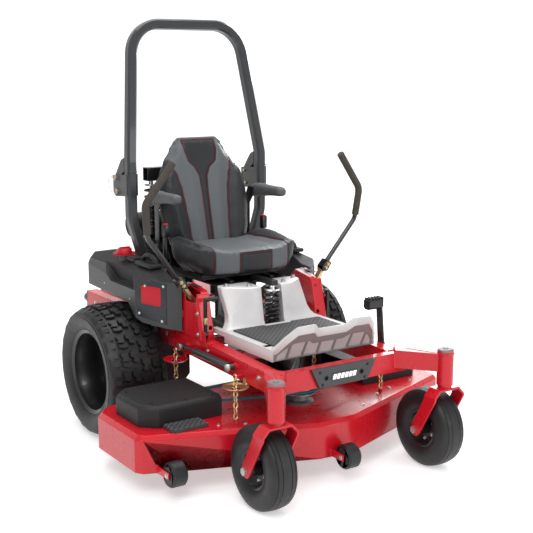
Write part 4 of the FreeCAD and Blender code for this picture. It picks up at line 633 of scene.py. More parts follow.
def bolts(name, rows, finish, body, slot):
    """Bolt heads on both sides: each row gives the left one's place, axis, radius and height."""
    bm = bmesh.new()
    for side in (1, -1):
        for (x, y, z), (across, *rest), radius, high in rows:
            bolt_head(bm, (side * x, y, z), (side * across, *rest), radius, high)
    finished(name, bm, finish, body, slot)


def finished(name, bm, finish, body, slot=None, replaces=(), round_by=0.0, segments=2):
    """Turn a bmesh into a piece, with its edges rounded where asked."""
    mesh = mesh_of(bm, name)
    for one in finish if isinstance(finish, tuple) else (finish,):
        mesh.materials.append(paint(one))
    if round_by:
        obj = placed(name + "_raw", mesh)
        bevel(obj, round_by, segments)
        mesh = shaped(obj)
    return piece_from(name, mesh, finish, body, slot, replaces)


# ---------------------------------------------------------------- geometry nodes tools
class Tree:
    """A geometry node tree with named inputs, made for a modifier."""

    def __init__(self, name, **inputs):
        self.group = bpy.data.node_groups.new(name, "GeometryNodeTree")
        self.ids = {}
        kinds = {int: "NodeSocketInt", float: "NodeSocketFloat", tuple: "NodeSocketVector"}
        for key, value in inputs.items():
            kind = kinds.get(type(value), "NodeSocketObject" if isinstance(value, bpy.types.Object)
                             else "NodeSocketMaterial")
            socket = self.group.interface.new_socket(key, in_out="INPUT", socket_type=kind)
            self.ids[key] = socket.identifier
        self.values = inputs
        self.group.interface.new_socket("Geometry", in_out="OUTPUT", socket_type="NodeSocketGeometry")
        self.source = self.group.nodes.new("NodeGroupInput")
        self.sink = self.group.nodes.new("NodeGroupOutput")

    def add(self, kind, links=(), **settings):
        node = self.group.nodes.new(kind)
        for key, value in settings.items():
            setattr(node, key, value)
        for socket, value in dict(links).items():
            target = node.inputs[socket]
            if isinstance(value, str) and value in self.ids:
                self.group.links.new(self.source.outputs[value], target)
            elif isinstance(value, bpy.types.NodeSocket):
                self.group.links.new(value, target)
            else:
                target.default_value = value
        return node

    def repeat(self, points, rotation):
        """Put the shape on the points, turned by the rotations, and give the copies their finish."""
        info = self.add("GeometryNodeObjectInfo", {"Object": "Shape"})
        copies = self.add("GeometryNodeInstanceOnPoints",
                          {"Points": points.outputs["Geometry"], "Instance": info.outputs["Geometry"],
                           "Rotation": rotation.outputs["Rotation"]})
        real = self.add("GeometryNodeRealizeInstances", {"Geometry": copies.outputs["Instances"]})
        coat = self.add("GeometryNodeSetMaterial",
                        {"Geometry": real.outputs["Geometry"], "Material": "Finish"})
        self.group.links.new(coat.outputs["Geometry"], self.sink.inputs[0])
        return self

    def make(self, name):
        """Run the tree once and give its result as a plain mesh."""
        holder = placed(name, bpy.data.meshes.new(name))
        modifier = holder.modifiers.new("build", "NODES")
        modifier.node_group = self.group
        for key, value in self.values.items():
            modifier[self.ids[key]] = value
        return shaped(holder)


def ring_of(name, bm, count, radius, finish):
    """Repeat a shape round the X axis: the shape is drawn standing on +Z at the middle."""
    shape = placed(name + "_shape", mesh_of(bm, name + "_shape"))
    tree = Tree(name, Shape=shape, Count=count, Radius=radius, Finish=paint(finish))
    ring = tree.add("GeometryNodeMeshCircle", {"Vertices": "Count", "Radius": "Radius"})
    upright = tree.add("GeometryNodeTransform", {"Geometry": ring.outputs["Mesh"],
                                                 "Rotation": (0.0, math.pi / 2, 0.0)})
    spot = tree.add("GeometryNodeInputPosition")
    aim = tree.add("FunctionNodeAlignRotationToVector", {"Vector": spot.outputs["Position"]}, axis="Z",
                   pivot_axis="X")
    mesh = tree.repeat(upright, aim).make(name)
    bpy.data.objects.remove(shape)
    return mesh


def copies_at(name, shape, places, finish):
    """Repeat a shape on a list of points, each with its own rotation."""
    cloud = bpy.data.meshes.new(name + "_points")
    cloud.from_pydata([p for p, _ in places], [], [])
    turn = cloud.attributes.new("turn", "FLOAT_VECTOR", "POINT")
    for i, (_, angles) in enumerate(places):
        turn.data[i].vector = angles
    holder = placed(name + "_points", cloud)
    tree = Tree(name, Shape=shape, Places=holder, Finish=paint(finish))
    points = tree.add("GeometryNodeObjectInfo", {"Object": "Places"})
    angles = tree.add("GeometryNodeInputNamedAttribute", {"Name": "turn"}, data_type="FLOAT_VECTOR")
    as_turn = tree.add("FunctionNodeEulerToRotation", {"Euler": angles.outputs["Attribute"]})
    mesh = tree.repeat(points, as_turn).make(name)
    bpy.data.objects.remove(holder)
    return mesh


# ---------------------------------------------------------------- wheels
def middle_of(node):
    low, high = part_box(node)
    return (low + high) / 2


def join(name, *meshes):
    """One mesh of several, each keeping its finish."""
    bm = bmesh.new()
    finishes = []
    for mesh in meshes:
        shift = []
        for mat in mesh.materials:
            if mat not in finishes:
                finishes.append(mat)
            shift.append(finishes.index(mat))
        count = len(bm.faces)
        bm.from_mesh(mesh)
        bm.faces.ensure_lookup_table()
        for face in bm.faces[count:]:
            face.material_index = shift[face.material_index] if shift else 0
    joined = bpy.data.meshes.new(name)
    bm.to_mesh(joined)
    bm.free()
    for mat in finishes:
        joined.materials.append(mat)
    return joined


def painted(mesh, finish):
    mesh.materials.clear()
    mesh.materials.append(paint(finish))
    return mesh


def tread_block(bm, outline, drop, high, draft=0.0025):
    """One rubber block: a base ring sunk in the crown, and a smaller top that follows the crown."""
    middle = Vector((sum(p[0] for p in outline) / len(outline), sum(p[1] for p in outline) / len(outline)))
    base, top = [], []
    for x, y in outline:
        base.append(bm.verts.new((x, y, -0.006 - drop(x))))
        inward = (middle - Vector((x, y))).normalized() * draft
        top.append(bm.verts.new((x + inward.x, y + inward.y, high - drop(x))))
    count = len(outline)
    bm.faces.new(top)
    bm.faces.new(base[::-1])
    for i in range(count):
        j = (i + 1) % count
        bm.faces.new((base[i], base[j], top[j], top[i]))


TREAD_BLOCKS = (
    ([(0.004, -0.30), (0.030, -0.36), (0.046, -0.20), (0.046, 0.05), (0.034, 0.12), (0.034, 0.34),
      (0.012, 0.40), (0.004, 0.28), (0.013, 0.05), (0.004, -0.06)], 0.0, 1.0),
    ([(0.053, -0.34), (0.082, -0.40), (0.090, -0.26), (0.082, -0.04), (0.088, 0.10), (0.060, 0.16),
      (0.052, 0.02)], 0.12, 1.0),
    ([(0.041, 0.20), (0.060, 0.27), (0.084, 0.22), (0.086, 0.42), (0.062, 0.52), (0.041, 0.46)], 0.06, 0.92),
    ([(0.096, -0.36), (0.137, -0.32), (0.137, 0.02), (0.096, 0.06)], -0.05, 0.9),
    ([(0.094, 0.12), (0.128, 0.10), (0.128, 0.42), (0.098, 0.46)], 0.02, 0.9))


def drive_tread(count, high, radius, half):
    """The staggered block rows of a drive tyre, as one mesh round the X axis."""
    def drop(x):
        far = max(0.0, abs(x) - half * 0.35)
        return far * far * 3.4

    pitch = math.tau * radius / count
    bm = bmesh.new()
    for side in (1, -1):
        start = len(bm.verts)
        for outline, shift, share in TREAD_BLOCKS:
            spots = [(side * x, y * pitch + shift * pitch) for x, y in outline][::side]
            tread_block(bm, spots, drop, high * share)
        if side < 0:
            bm.verts.ensure_lookup_table()
            for vert in bm.verts[start:]:
                vert.co.y += pitch / 2
    bmesh.ops.recalc_face_normals(bm, faces=bm.faces)
    bmesh.ops.bevel(bm, geom=[e for e in bm.edges if all(v.co.z > -0.004 - drop(v.co.x) for v in e.verts)],
                    offset=0.0016, segments=2, affect="EDGES")
    for vert in bm.verts:
        around, out = vert.co.y / radius, radius + vert.co.z
        vert.co.y, vert.co.z = out * math.sin(around), out * math.cos(around) - radius
    return ring_of("drive_tread", bm, count, radius, "tyre")


def sidewall_teeth(count, radius, half):
    """Small teeth round both shoulders, where the tread ends."""
    bm = bmesh.new()
    for side in (1, -1):
        middle = side * (half - 0.0125)
        block(bm, (middle - 0.006, -0.007, -0.020), (middle + 0.006, 0.007, 0.016))
    bmesh.ops.bevel(bm, geom=list(bm.edges), offset=0.002, segments=1, affect="EDGES")
    return ring_of("sidewall_teeth", bm, count, radius, "tyre")


def wheel_piece(piece, body, node, centre, side, finish, slot, *meshes):
    """A wheel's piece, of meshes drawn round the X axis and turned over for the other side."""
    mesh = join(piece, *meshes)
    if side < 0:
        mesh.transform(Matrix.Rotation(math.pi, 4, "Z"))
    mesh.transform(Matrix.Translation(centre))
    piece_from(piece, mesh, finish, body, slot, (node,))


def turned(name, profile, steps, finish):
    """A mesh turned round the X axis, with its finish."""
    bm = bmesh.new()
    lathe(bm, profile, steps)
    return painted(mesh_of(bm, name), finish)


def cone(bm, along, sides, foot, top, depth):
    """A short round or hexagonal form standing on the X axis."""
    bmesh.ops.create_cone(bm, cap_ends=True, segments=sides, radius1=foot, radius2=top, depth=depth,
                          matrix=Matrix.Translation((along, 0, 0.0)) @ Matrix.Rotation(math.pi / 2, 4, "Y"))


DRIVE_RIM = [
    (0.120, 0.190), (0.118, 0.1925), (0.114, 0.1915), (0.1125, 0.186), (0.110, 0.1785), (0.085, 0.177),
    (0.072, 0.168), (0.02, 0.165), (0.012, 0.172), (-0.07, 0.174), (-0.085, 0.177), (-0.110, 0.1785),
    (-0.1125, 0.186), (-0.114, 0.1915), (-0.118, 0.1925), (-0.120, 0.190), (-0.118, 0.182), (-0.112, 0.172),
    (-0.06, 0.169), (-0.046, 0.166), (-0.045, 0.150), (-0.040, 0.128), (-0.046, 0.100), (-0.047, 0.046),
    (-0.085, 0.044), (-0.085, 0.0184), (-0.036, 0.0184), (-0.036, 0.030), (-0.033, 0.034), (-0.034, 0.086),
    (-0.027, 0.098), (-0.010, 0.128), (-0.012, 0.146), (-0.018, 0.156), (0.006, 0.160), (0.02, 0.158),
    (0.072, 0.161), (0.088, 0.170), (0.113, 0.174), (0.117, 0.182), (0.120, 0.190)]


def drive_wheels():
    s = sizes()
    low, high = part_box("drive_tyre_left")
    radius, half = (high.z - low.z) / 2, (high.x - low.x) / 2
    base = radius - s.tread_high
    outer = [(0.114, 0.178), (0.118, 0.190), (0.124, 0.194), (0.131, 0.205), (0.1375, 0.222), (0.1405, 0.238),
             (half, 0.244), (half, 0.248), (0.1385, 0.251), (0.138, 0.262), (0.131, 0.274),
             (0.118, base - 0.006), (0.09, base - 0.002), (0.05, base), (0, base)]
    inner = [(0.100, base - 0.014), (0.125, 0.255), (0.127, 0.238), (0.110, 0.194), (0.104, 0.178)]
    profile = outer + [(-x, r) for x, r in outer[-2::-1]] + [(-x, r) for x, r in inner[::-1]] + inner
    for name, side in SIDES:
        body = turned("tyre_body", profile + profile[:1], 96, "tyre")
        tread = drive_tread(s.tread_count, s.tread_high, base, half)
        teeth = sidewall_teeth(s.tread_count * 3, 0.2485, half)
        wheel, centre = "drive_wheel_" + name, middle_of("drive_tyre_" + name)
        wheel_piece("tyre_of_" + wheel, wheel, "drive_tyre_" + name, centre, side, "tyre", "tyre_rubber",
                    body, tread, teeth)

        disc = turned("rim_disc", DRIVE_RIM, 72, "black")
        bm = bmesh.new()
        cone(bm, -0.033, 20, 0.0135, 0.0125, 0.006)
        cone(bm, -0.0255, 6, 0.0115, 0.0115, 0.015)
        cone(bm, -0.015, 14, 0.0062, 0.0054, 0.012)
        nuts = ring_of("lug_nuts", bm, 5, 0.057, "zinc")
        bm = bmesh.new()
        cone(bm, -0.018, 20, 0.011, 0.010, 0.003)
        valve = painted(mesh_of(bm, "valve"), "black")
        valve.transform(Matrix.Translation((0.02, 0, 0.148)))
        wheel_piece("rim_of_" + wheel, wheel, "drive_rim_" + name, centre, side, "black", "black_paint",
                    disc, nuts, valve)


def casters():
    crown = [(0.044, 0.078), (0.050, 0.086), (0.0565, 0.098), (0.060, 0.112), (0.0598, 0.128),
             (0.0560, 0.143), (0.0490, 0.1545), (0.0405, 0.1603), (0.0385, 0.1580), (0.0365, 0.1612), (0.0215, 0.1637),
             (0.0200, 0.1612), (0.0180, 0.1641), (0.0, 0.1650)]
    dish = [(0.0445, 0.078), (0.047, 0.080), (0.048, 0.077), (0.045, 0.070), (0.036, 0.066), (0.024, 0.055),
            (0.018, 0.044), (0.019, 0.030), (0.040, 0.026), (0.0685, 0.0235), (0.0715, 0.0215),
            (0.0715, 0.0097)]
    for name, side in SIDES:
        tyre = turned("caster_body", crown + [(-x, r) for x, r in crown[-2::-1]] + crown[:1], 96, "tyre")
        wheel, centre = "caster_wheel_" + name, middle_of("caster_tyre_" + name)
        wheel_piece("tyre_of_caster_" + name, wheel, "caster_tyre_" + name, centre, side, "tyre", "tyre_rubber",
                    tyre)
        hub = turned("caster_hub", dish + [(-x, r) for x, r in dish[::-1]] + dish[:1], 64, "black")
        bm = bmesh.new()
        for way in (1, -1):
            bolt_head(bm, (way * 0.0195, 0, 0.0), (way, 0, 0), 0.006, 0.006)
        nuts = ring_of("rim_bolts", bm, 6, 0.049, "zinc")
        wheel_piece("rim_of_caster_" + name, wheel, "caster_rim_" + name, centre, side, "black",
                    "black_paint", hub, nuts)
        soften("caster_fork_" + name, "red", sizes().fold_round * 0.8)
        dress("zinc", "caster_axle_" + name)
        top = Vector((side * STEM_X, STEM_Y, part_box("caster_fork_" + name)[1].z - 0.009))
        bm = bmesh.new()
        lathe(bm, [(-0.001, 0.0335), (0.006, 0.0335), (0.0095, 0.029), (0.0095, 0.012), (0.0125, 0.010),
                   (0.0125, 0.0001)], 28, top, "Z")
        finished("stem_cap_" + name, bm, "cast", "fork_" + name, "zinc")


# ---------------------------------------------------------------- frame and roll bar
def weld_path(bm, start, end, radius=0.0035, ripple=0.008):
    """A rippled weld bead between two points."""
    a, b = Vector(start), Vector(end)
    count = max(3, int((b - a).length / ripple) * 3)
    line = [a.lerp(b, i / count) for i in range(count + 1)]
    tube(bm, line, lambda t: radius * (0.82 + 0.18 * math.sin(t * count * math.tau / 3)), 6)


FRAME_WELDS = (((0.330, -0.809, 0.4245), (0.384, -0.930, 0.4245), 0.003),
               ((0.330, -0.809, 0.4995), (0.384, -0.930, 0.4995), 0.003),
               ((0.268, -0.766, 0.407), (0.268, -0.766, 0.487), 0.0035),
               ((0.330, -0.808, 0.408), (0.330, -0.808, 0.484), 0.0035),
               ((0.270, -0.766, 0.488), (0.327, -0.766, 0.488), 0.0035))


def frame_pieces():
    s = sizes()
    disc_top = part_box("lift_chains")[1].z - 0.040

    def on_front_disc(spot, normal):
        near = abs(abs(spot.x) - CHAIN_X) < 0.056 and abs(spot.y - CHAIN_FRONT) < 0.056
        return int(near and spot.z < disc_top + 0.004)

    soften("main_frame", ("red", "yellow_zinc"), s.fold_round, choose=on_front_disc)
    soften("lamp_panel", "charcoal", s.fold_round * 0.6)
    bm = bmesh.new()
    for side in (1, -1):
        for start, end, radius in FRAME_WELDS:
            weld_path(bm, *((side * x, y, z) for x, y, z in (start, end)), radius)
        tube(bm, circle((side * STEM_X, STEM_Y, 0.500), 0.0345, 40), 0.003, 6, True)
    finished("frame_welds", bm, "red", "chassis", "red_paint")
    rows = [((0.331, y, STRUT_Z), (1, 0, 0), 0.009, 0.008) for y in STRUT_ENDS]
    rows += [((0.328, y, z), (1, 0, 0), s.bolt, 0.006) for y, z in
             ((-0.70, 0.455), (-0.31, 0.474), (0.05, 0.475), (0.36, 0.475), (0.56, 0.475), (0.80, 0.475))]
    rows += [((0.298, y, 0.52), (0, 0, 1), s.bolt, 0.006) for y in (0.19, 0.28)]
    bolts("frame_bolts", rows, "zinc", "chassis", "zinc")
    lamp()


def lamp():
    """Light bar: a housing behind a smoked lens with six lit strips, set in the panel with two sockets."""
    low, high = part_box("lamp_lens")
    bm = bmesh.new()
    block(bm, (low.x + 0.001, low.y + 0.006, low.z + 0.001), (high.x - 0.001, high.y - 0.001, high.z - 0.001))
    finished("lamp_housing", bm, "black", "chassis", "black_paint", round_by=0.001)
    bm = bmesh.new()
    count, rim = 6, 0.0035
    pitch = (high.x - low.x - 0.006) / count
    half, lean = pitch * 0.36, pitch * 0.16
    for k in range(count):
        x = low.x + 0.003 + pitch * (k + 0.5)
        plate(bm, [(x - half + lean, high.z - rim), (x + half + lean, high.z - rim),
                   (x + half - lean, low.z + rim), (x - half - lean, low.z + rim)],
              low.y - 0.0012, low.y + 0.004, "XZ")
    finished("lamp_emitters", bm, "glow", "chassis", "lens", round_by=0.001)
    bm = bmesh.new()
    block(bm, (low.x, low.y + 0.0002, low.z), (high.x, low.y + 0.0030, high.z))
    finished("lamp_glass", bm, "lamp_glass", "chassis", "lens", ("lamp_lens",), 0.0008)
    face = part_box("lamp_panel")[0].y
    bm = bmesh.new()
    for side in (1, -1):
        lathe(bm, [(0.011, 0.0001), (0.011, 0.0078), (-0.0012, 0.0085), (-0.0016, 0.0105),
                   (0.001, 0.0115)], 28, (side * 0.088, face, 0.444), "Y")
        bolt_head(bm, (side * 0.118, face, 0.470), (0, -1, 0), 0.005, 0.004)
        bolt_head(bm, (side * 0.105, face, 0.418), (0, -1, 0), 0.005, 0.004)
    finished("lamp_panel_sockets", bm, "black", "chassis", "black_paint")


def roll_bar():
    dress("charcoal", "roll_bar_hoop", "roll_bar_posts")
    dress("yellow_zinc", "roll_bar_pins")
    bm = bmesh.new()
    for side in (1, -1):
        ring = []
        for k in range(48):
            a = math.tau * k / 48
            c, t = math.cos(a), math.sin(a)
            reach = 1 / max(abs(c), abs(t)) * (0.93 + 0.07 * max(abs(c), abs(t)))
            reach = min(reach, 1.28)
            ring.append(Vector((side * BAR_X + 0.0228 * c * reach, BAR_Y + 0.0248 * t * reach, 1.175)))
        tube(bm, ring, 0.0028, 6, True)
    finished("hinge_seals", bm, "black", "roll_bar", "black_paint")
    bm = bmesh.new()
    for side in (1, -1):
        for back, z in ((0.079, 1.081), (0.091, 1.142)):
            centre = Vector((side * BAR_X, BAR_Y + back, z))
            ring = []
            for k in range(30):
                a = math.tau * k / 30
                wave = side * (0.040 + 0.004 * math.sin(2 * a))
                ring.append(centre + Vector((wave, 0.013 * math.cos(a), 0.013 * math.sin(a))))
            tube(bm, ring, 0.0013, 6, True)
        clip = [(side * 0.396, 0.41, 1.142), (side * 0.402, 0.425, 1.15), (side * 0.404, 0.448, 1.13),
                (side * 0.400, 0.440, 1.09), (side * 0.392, 0.415, 1.062), (side * 0.390, 0.404, 1.081)]
        tube(bm, smooth_line(clip), 0.0011, 6)
    finished("pin_clips", bm, "steel", "chassis", "zinc")


# ---------------------------------------------------------------- towers and levers
def levers():
    s = sizes()

    # Painted highlight: the far tower's upward-facing top takes a pinkish white enamel for the glare of the lamps on
    # its red paint.
    def on_far_top(spot, normal):
        return int(spot.x > 0 and spot.z > 0.700 and normal.z > 0.9)

    soften("control_towers", ("red", "pale_plate"), s.fold_round, choose=on_far_top)
    for name, side in SIDES:
        soften("lever_stub_" + name, "yellow_zinc", 0.002)
        soften("drive_lever_" + name, "black_gloss", 0.0012)
        soften("lever_grip_" + name, "foam", 0.004, 3)
        bm = bmesh.new()
        for out, up in ((0.006, 0.006), (0.018, 0.022)):
            for way in (1, -1):
                spot = (side * (0.367 + out), -0.175 + way * 0.0223, 0.732 + up)
                bolt_head(bm, spot, (0, way, 0), 0.006, 0.006)
        finished("clamp_bolts_" + name, bm, "yellow_zinc", "lever_" + name, "zinc")
    rows = [((0.332, y, z), (1, 0, 0), s.bolt, 0.006)
            for y, z in ((-0.235, 0.53), (-0.235, 0.62), (-0.085, 0.56), (-0.085, 0.64))]
    rows += [((0.300, y, 0.728), (0, 0, 1), 0.005, 0.004) for y in (-0.125, -0.105)]
    bolts("tower_bolts", rows, "zinc", "chassis", "zinc")
    bm = bmesh.new()
    for side in (1, -1):
        outline = [(0.292, -0.214), (0.312, -0.208), (0.309, -0.150), (0.318, -0.128), (0.298, -0.122),
                   (0.288, -0.150)]
        plate(bm, [(side * x, y) for x, y in outline][::side], 0.7275, 0.7290)
    finished("tower_slot_seals", bm, "moulding", "chassis", "black_plastic")
    soften("brake_lever", "black", 0.002)
    bm = bmesh.new()
    block(bm, (-0.3325, -0.3015, 0.585), (-0.3195, -0.2825, 0.613))
    finished("brake_collar", bm, "yellow_zinc", "brake", "zinc", round_by=0.0015)
    soften("lock_lever", ("black", "steel"), 0.003, choose=lambda spot, normal: int(spot.z < 0.505))


# ---------------------------------------------------------------- fenders and lift gear
FACET_FOOT = Vector((0.388, -0.080, 0))
FACET_WAY = Vector((0.092, 0.130, 0)).normalized()


def facet_point(side, far, z, out):
    """A point of a fender's front facet: how far it is from the nose, how high and how proud."""
    spot = FACET_FOOT + FACET_WAY * far + Vector((FACET_WAY.y, -FACET_WAY.x, 0)) * out
    return Vector((side * spot.x, spot.y, z))


def facet_plate(bm, side, outline, low, high):
    """A flat plate on the facet, given by its outline and the two levels of its faces."""
    plate(bm, outline, low, high, lambda p, level: facet_point(side, *p, level))


def fenders():
    # The slot's floor and walls take the black moulding as painted shade in the recess; the upward faces at the front
    # take it as their own colour.
    def by_place(spot, normal):
        x = abs(spot.x)
        in_shaded_slot = 0.05 < spot.y < 0.50 and 0.660 < spot.z < 0.775 and 0.412 < x < 0.478
        on_top = normal.z > 0.55 and spot.y < 0.34
        return int((in_shaded_slot and (x < 0.440 or abs(normal.x) < 0.6)) or on_top)

    soften("fenders", ("fender", "moulding"), sizes().mould_round, 3, choose=by_place)
    bm = bmesh.new()
    for side in (1, -1):
        facet_plate(bm, side, [(0.006, 0.548), (0.146, 0.578), (0.157, 0.640), (0.155, 0.690), (0.076, 0.742),
                               (0.044, 0.733), (0.006, 0.729)], -0.002, 0.0030)
    finished("fender_panels", bm, "badge_panel", "chassis", "grey_plastic", round_by=0.002)
    middle, half, high, slope, corner = 0.079, 0.047, 0.0405, 0.085, 0.008
    outline = []
    for across, up, start in ((1, 1, 0), (-1, 1, 90), (-1, -1, 180), (1, -1, 270)):
        for step in range(5):
            a = math.radians(start + 22.5 * step)
            far = across * (half - corner) + corner * math.cos(a)
            outline.append((middle + far, 0.671 + up * (high - corner) + corner * math.sin(a) + far * slope))
    bm = bmesh.new()
    for side in (1, -1):
        facet_plate(bm, side, outline, 0.002, 0.0050)
    finished("fender_badge_plates", bm, "red_moulding", "chassis", "red_plastic", round_by=0.001)
    bm = bmesh.new()
    for side in (1, -1):
        out = Vector((side * FACET_WAY.y, -FACET_WAY.x, 0))
        for far, z in ((0.108, 0.712), (0.138, 0.590), (0.028, 0.562), (0.020, 0.716)):
            bolt_head(bm, facet_point(side, far, z, 0.003), out, 0.0042, 0.003)
        for x, y, z in ((0.470, 0.110, 0.640), (0.462, 0.240, 0.655), (0.455, 0.400, 0.660)):
            bolt_head(bm, (side * (x + 0.004), y, z), (side, 0, 0), 0.0045, 0.003)
    finished("fender_screws", bm, "zinc", "chassis", "zinc")
    tank_top()
    tank_cap()
    soften("lift_pedal", "black", 0.0025)
    soften("lift_strut", "charcoal", 0.0015)
    bm = bmesh.new()
    for y in STRUT_ENDS[::-1]:
        lathe(bm, [(0.0, 0.0001), (0.0, 0.016), (0.012, 0.016),
                   (0.012, 0.0001)], 20, (-0.376, y, STRUT_Z), "X")
    finished("strut_bolt_heads", bm, "zinc", "chassis", "zinc", round_by=0.001)
    chains()


def tank_cap():
    """Red cap with a ribbed rim and a bar to turn it by."""
    low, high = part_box("fuel_cap")
    centre = ((low.x + high.x) / 2, (low.y + high.y) / 2, low.z)
    bm = bmesh.new()
    block(bm, (-0.0035, -0.0018, 0.002), (0.0035, 0.0025, 0.0205))
    ribs = ring_of("cap_ribs", bm, 28, 0.033, "red_moulding")
    ribs.transform(Matrix.Rotation(math.pi / 2, 4, "Y"))
    ribs.transform(Matrix.Translation(centre))
    bm = bmesh.new()
    lathe(bm, [(0.0005, 0.0262), (0.0005, 0.033), (0.021, 0.0325), (0.0245, 0.030), (0.0255, 0.024),
               (0.023, 0.020), (0.022, 0.008), (0.0225, 0.0001)], 48, centre, "Z")
    lathe(bm, [(0.0005, 0.0262), (0.012, 0.0262), (0.012, 0.0001)], 32, centre, "Z")
    body = painted(mesh_of(bm, "cap_body"), "red_moulding")
    bm = bmesh.new()
    block(bm, (centre[0] - 0.027, centre[1] - 0.004, centre[2] + 0.018),
          (centre[0] + 0.027, centre[1] + 0.004, centre[2] + 0.031))
    bmesh.ops.bevel(bm, geom=list(bm.edges), offset=0.002, segments=2, affect="EDGES")
    bar = painted(mesh_of(bm, "cap_bar"), "red_moulding")
    piece_from("tank_cap", join("tank_cap", body, ribs, bar), "red_moulding", "cap", "red_plastic",
               ("fuel_cap",))


def tank_top():
    """Grab handle and raised lid moulded on top of each fender."""
    bm = bmesh.new()
    for side in (1, -1):
        side_block(bm, side, 0.352, 0.412, 0.030, 0.185, 0.776, 0.794)
        side_block(bm, side, 0.350, 0.400, 0.215, 0.290, 0.778, 0.800)
    finished("fender_lids", bm, "moulding", "chassis", "black_plastic", round_by=0.006, segments=3)
    bm = bmesh.new()
    for side in (1, -1):
        arch = [(side * 0.372, 0.050, 0.790), (side * 0.374, 0.062, 0.812), (side * 0.376, 0.100, 0.824),
                (side * 0.376, 0.138, 0.820), (side * 0.374, 0.165, 0.806), (side * 0.372, 0.172, 0.788)]
        tube(bm, smooth_line(arch, 6), 0.0105, 12)
    finished("fender_handles", bm, "moulding", "chassis", "black_plastic")


def chains():
    """Welded links, every other one turned, each chain a piece of its own that goes with the deck."""
    low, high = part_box("lift_chains")
    wire, long, wide = 0.0034, 0.030, 0.0236
    count = round((high.z - low.z - long) / (long - wire * 2.2)) + 1
    pitch = (high.z - low.z - long) / (count - 1)
    straight = (long - wide) / 2
    line = []
    for k in range(20):
        a = math.tau * k / 20
        line.append(Vector(((wide / 2 - wire) * math.cos(a), 0,
                            (wide / 2 - wire) * math.sin(a) + math.copysign(straight, math.sin(a)))))
    bm = bmesh.new()
    tube(bm, line, wire, 8, True)
    link = placed("link", mesh_of(bm, "link"))
    for name, side in SIDES:
        for end, y in (("front", CHAIN_FRONT), ("rear", CHAIN_REAR)):
            places = [((side * CHAIN_X, y, low.z + long / 2 + k * pitch), (0, 0, math.pi / 2 * (k % 2)))
                      for k in range(count)]
            mesh = copies_at("links", link, places, "yellow_zinc")
            piece_from(f"chain_{end}_{name}", mesh, "yellow_zinc", "deck", "zinc", ("lift_chains",))
    bpy.data.objects.remove(link)


# ---------------------------------------------------------------- platform
PAN_TOP = 0.552
SKIRT_LOW = 0.503
LIP_TOP = [(0.0, -0.746, 0.627), (0.072, -0.746, 0.627), (0.100, -0.766, 0.652), (0.176, -0.763, 0.650),
           (0.216, -0.738, 0.612), (0.238, -0.712, 0.577), (0.248, -0.702, 0.562), (0.257, -0.697, 0.553)]
RIB_PLACES = (0.038, 0.113, 0.188)


def pan_only(bm):
    """Keep the flat pan of the platform, without its upstand."""
    cut = bmesh.ops.bisect_plane(bm, geom=bm.verts[:] + bm.edges[:] + bm.faces[:],
                                 plane_co=(0, 0, PAN_TOP + 0.0004), plane_no=(0, 0, 1), clear_outer=True)
    rims = [item for item in cut["geom_cut"] if isinstance(item, bmesh.types.BMEdge)]
    bmesh.ops.holes_fill(bm, edges=rims, sides=0)


def lip_ring(bm, x):
    """Section of the toe guard: its rim, the ribbed face under it and the inner side."""
    a = abs(x)
    for (x0, y0, z0), (x1, y1, z1) in zip(LIP_TOP, LIP_TOP[1:]):
        if a <= x1 + 1e-6:
            t = (a - x0) / (x1 - x0)
            y, z = y0 + (y1 - y0) * t, z0 + (z1 - z0) * t
            break
    rim = min(0.036, (z - SKIRT_LOW) * 0.5)
    face = Vector((x, y + 0.016, z - rim - 0.001))
    foot = Vector((x, -0.687, SKIRT_LOW))
    spots = [(x, y, z), (x, y + 0.008, z - rim), face, face.lerp(foot, 0.34), face.lerp(foot, 0.93), foot,
             (x, -0.674, SKIRT_LOW), (x, -0.664, PAN_TOP + 0.0005), (x, y + 0.020, z - 0.004)]
    return [bm.verts.new(spot) for spot in spots]


def toe_guard():
    """Forward-leaning guard across the platform's front, lower in the middle, with ribbed recesses."""
    half_rib = 0.0036
    rib_edges = {rib + way * half_rib for rib in RIB_PLACES for way in (1, -1)}
    places = sorted({x for x, _, _ in LIP_TOP[1:]} | rib_edges)
    bm = bmesh.new()
    rings = [lip_ring(bm, x) for x in [-x for x in places[::-1]] + places]
    # The face under the rim (sides 2 to 4) takes the darker silver as painted shade; the recess floors go back to
    # plain silver below.
    sides = loft(bm, rings, material=lambda i: int(2 <= i <= 4))
    bays = {}
    for k, left in enumerate(rings[:-1]):
        middle = (left[0].co.x + rings[k + 1][0].co.x) / 2
        on_rib = any(abs(abs(middle) - rib) < half_rib for rib in RIB_PLACES)
        if not on_rib and abs(middle) < 0.240:
            bay = sum(rib < middle for rib in RIB_PLACES) - sum(-rib > middle for rib in RIB_PLACES)
            bays.setdefault(bay, []).append(sides[k * len(left) + 3])
    bmesh.ops.recalc_face_normals(bm, faces=bm.faces)
    for floor in bays.values():
        bmesh.ops.inset_region(bm, faces=floor, thickness=0.003, depth=-0.005, use_even_offset=True)
        for face in floor:
            face.material_index = 0
    finished("toe_guard", bm, ("silver", "silver_shade"), "platform", "silver_cover", round_by=0.0022)


COVER_LEVELS = [(0.5525, 0.096, 0.246, -0.336, -0.330), (0.562, 0.092, 0.230, -0.328, -0.319),
                (0.578, 0.090, 0.215, -0.322, -0.304), (0.605, 0.092, 0.206, -0.318, -0.288),
                (0.650, 0.098, 0.205, -0.310, -0.262), (0.695, 0.106, 0.205, -0.302, -0.234),
                (0.712, 0.109, 0.203, -0.299, -0.226), (0.717, 0.110, 0.196, -0.292, -0.219)]


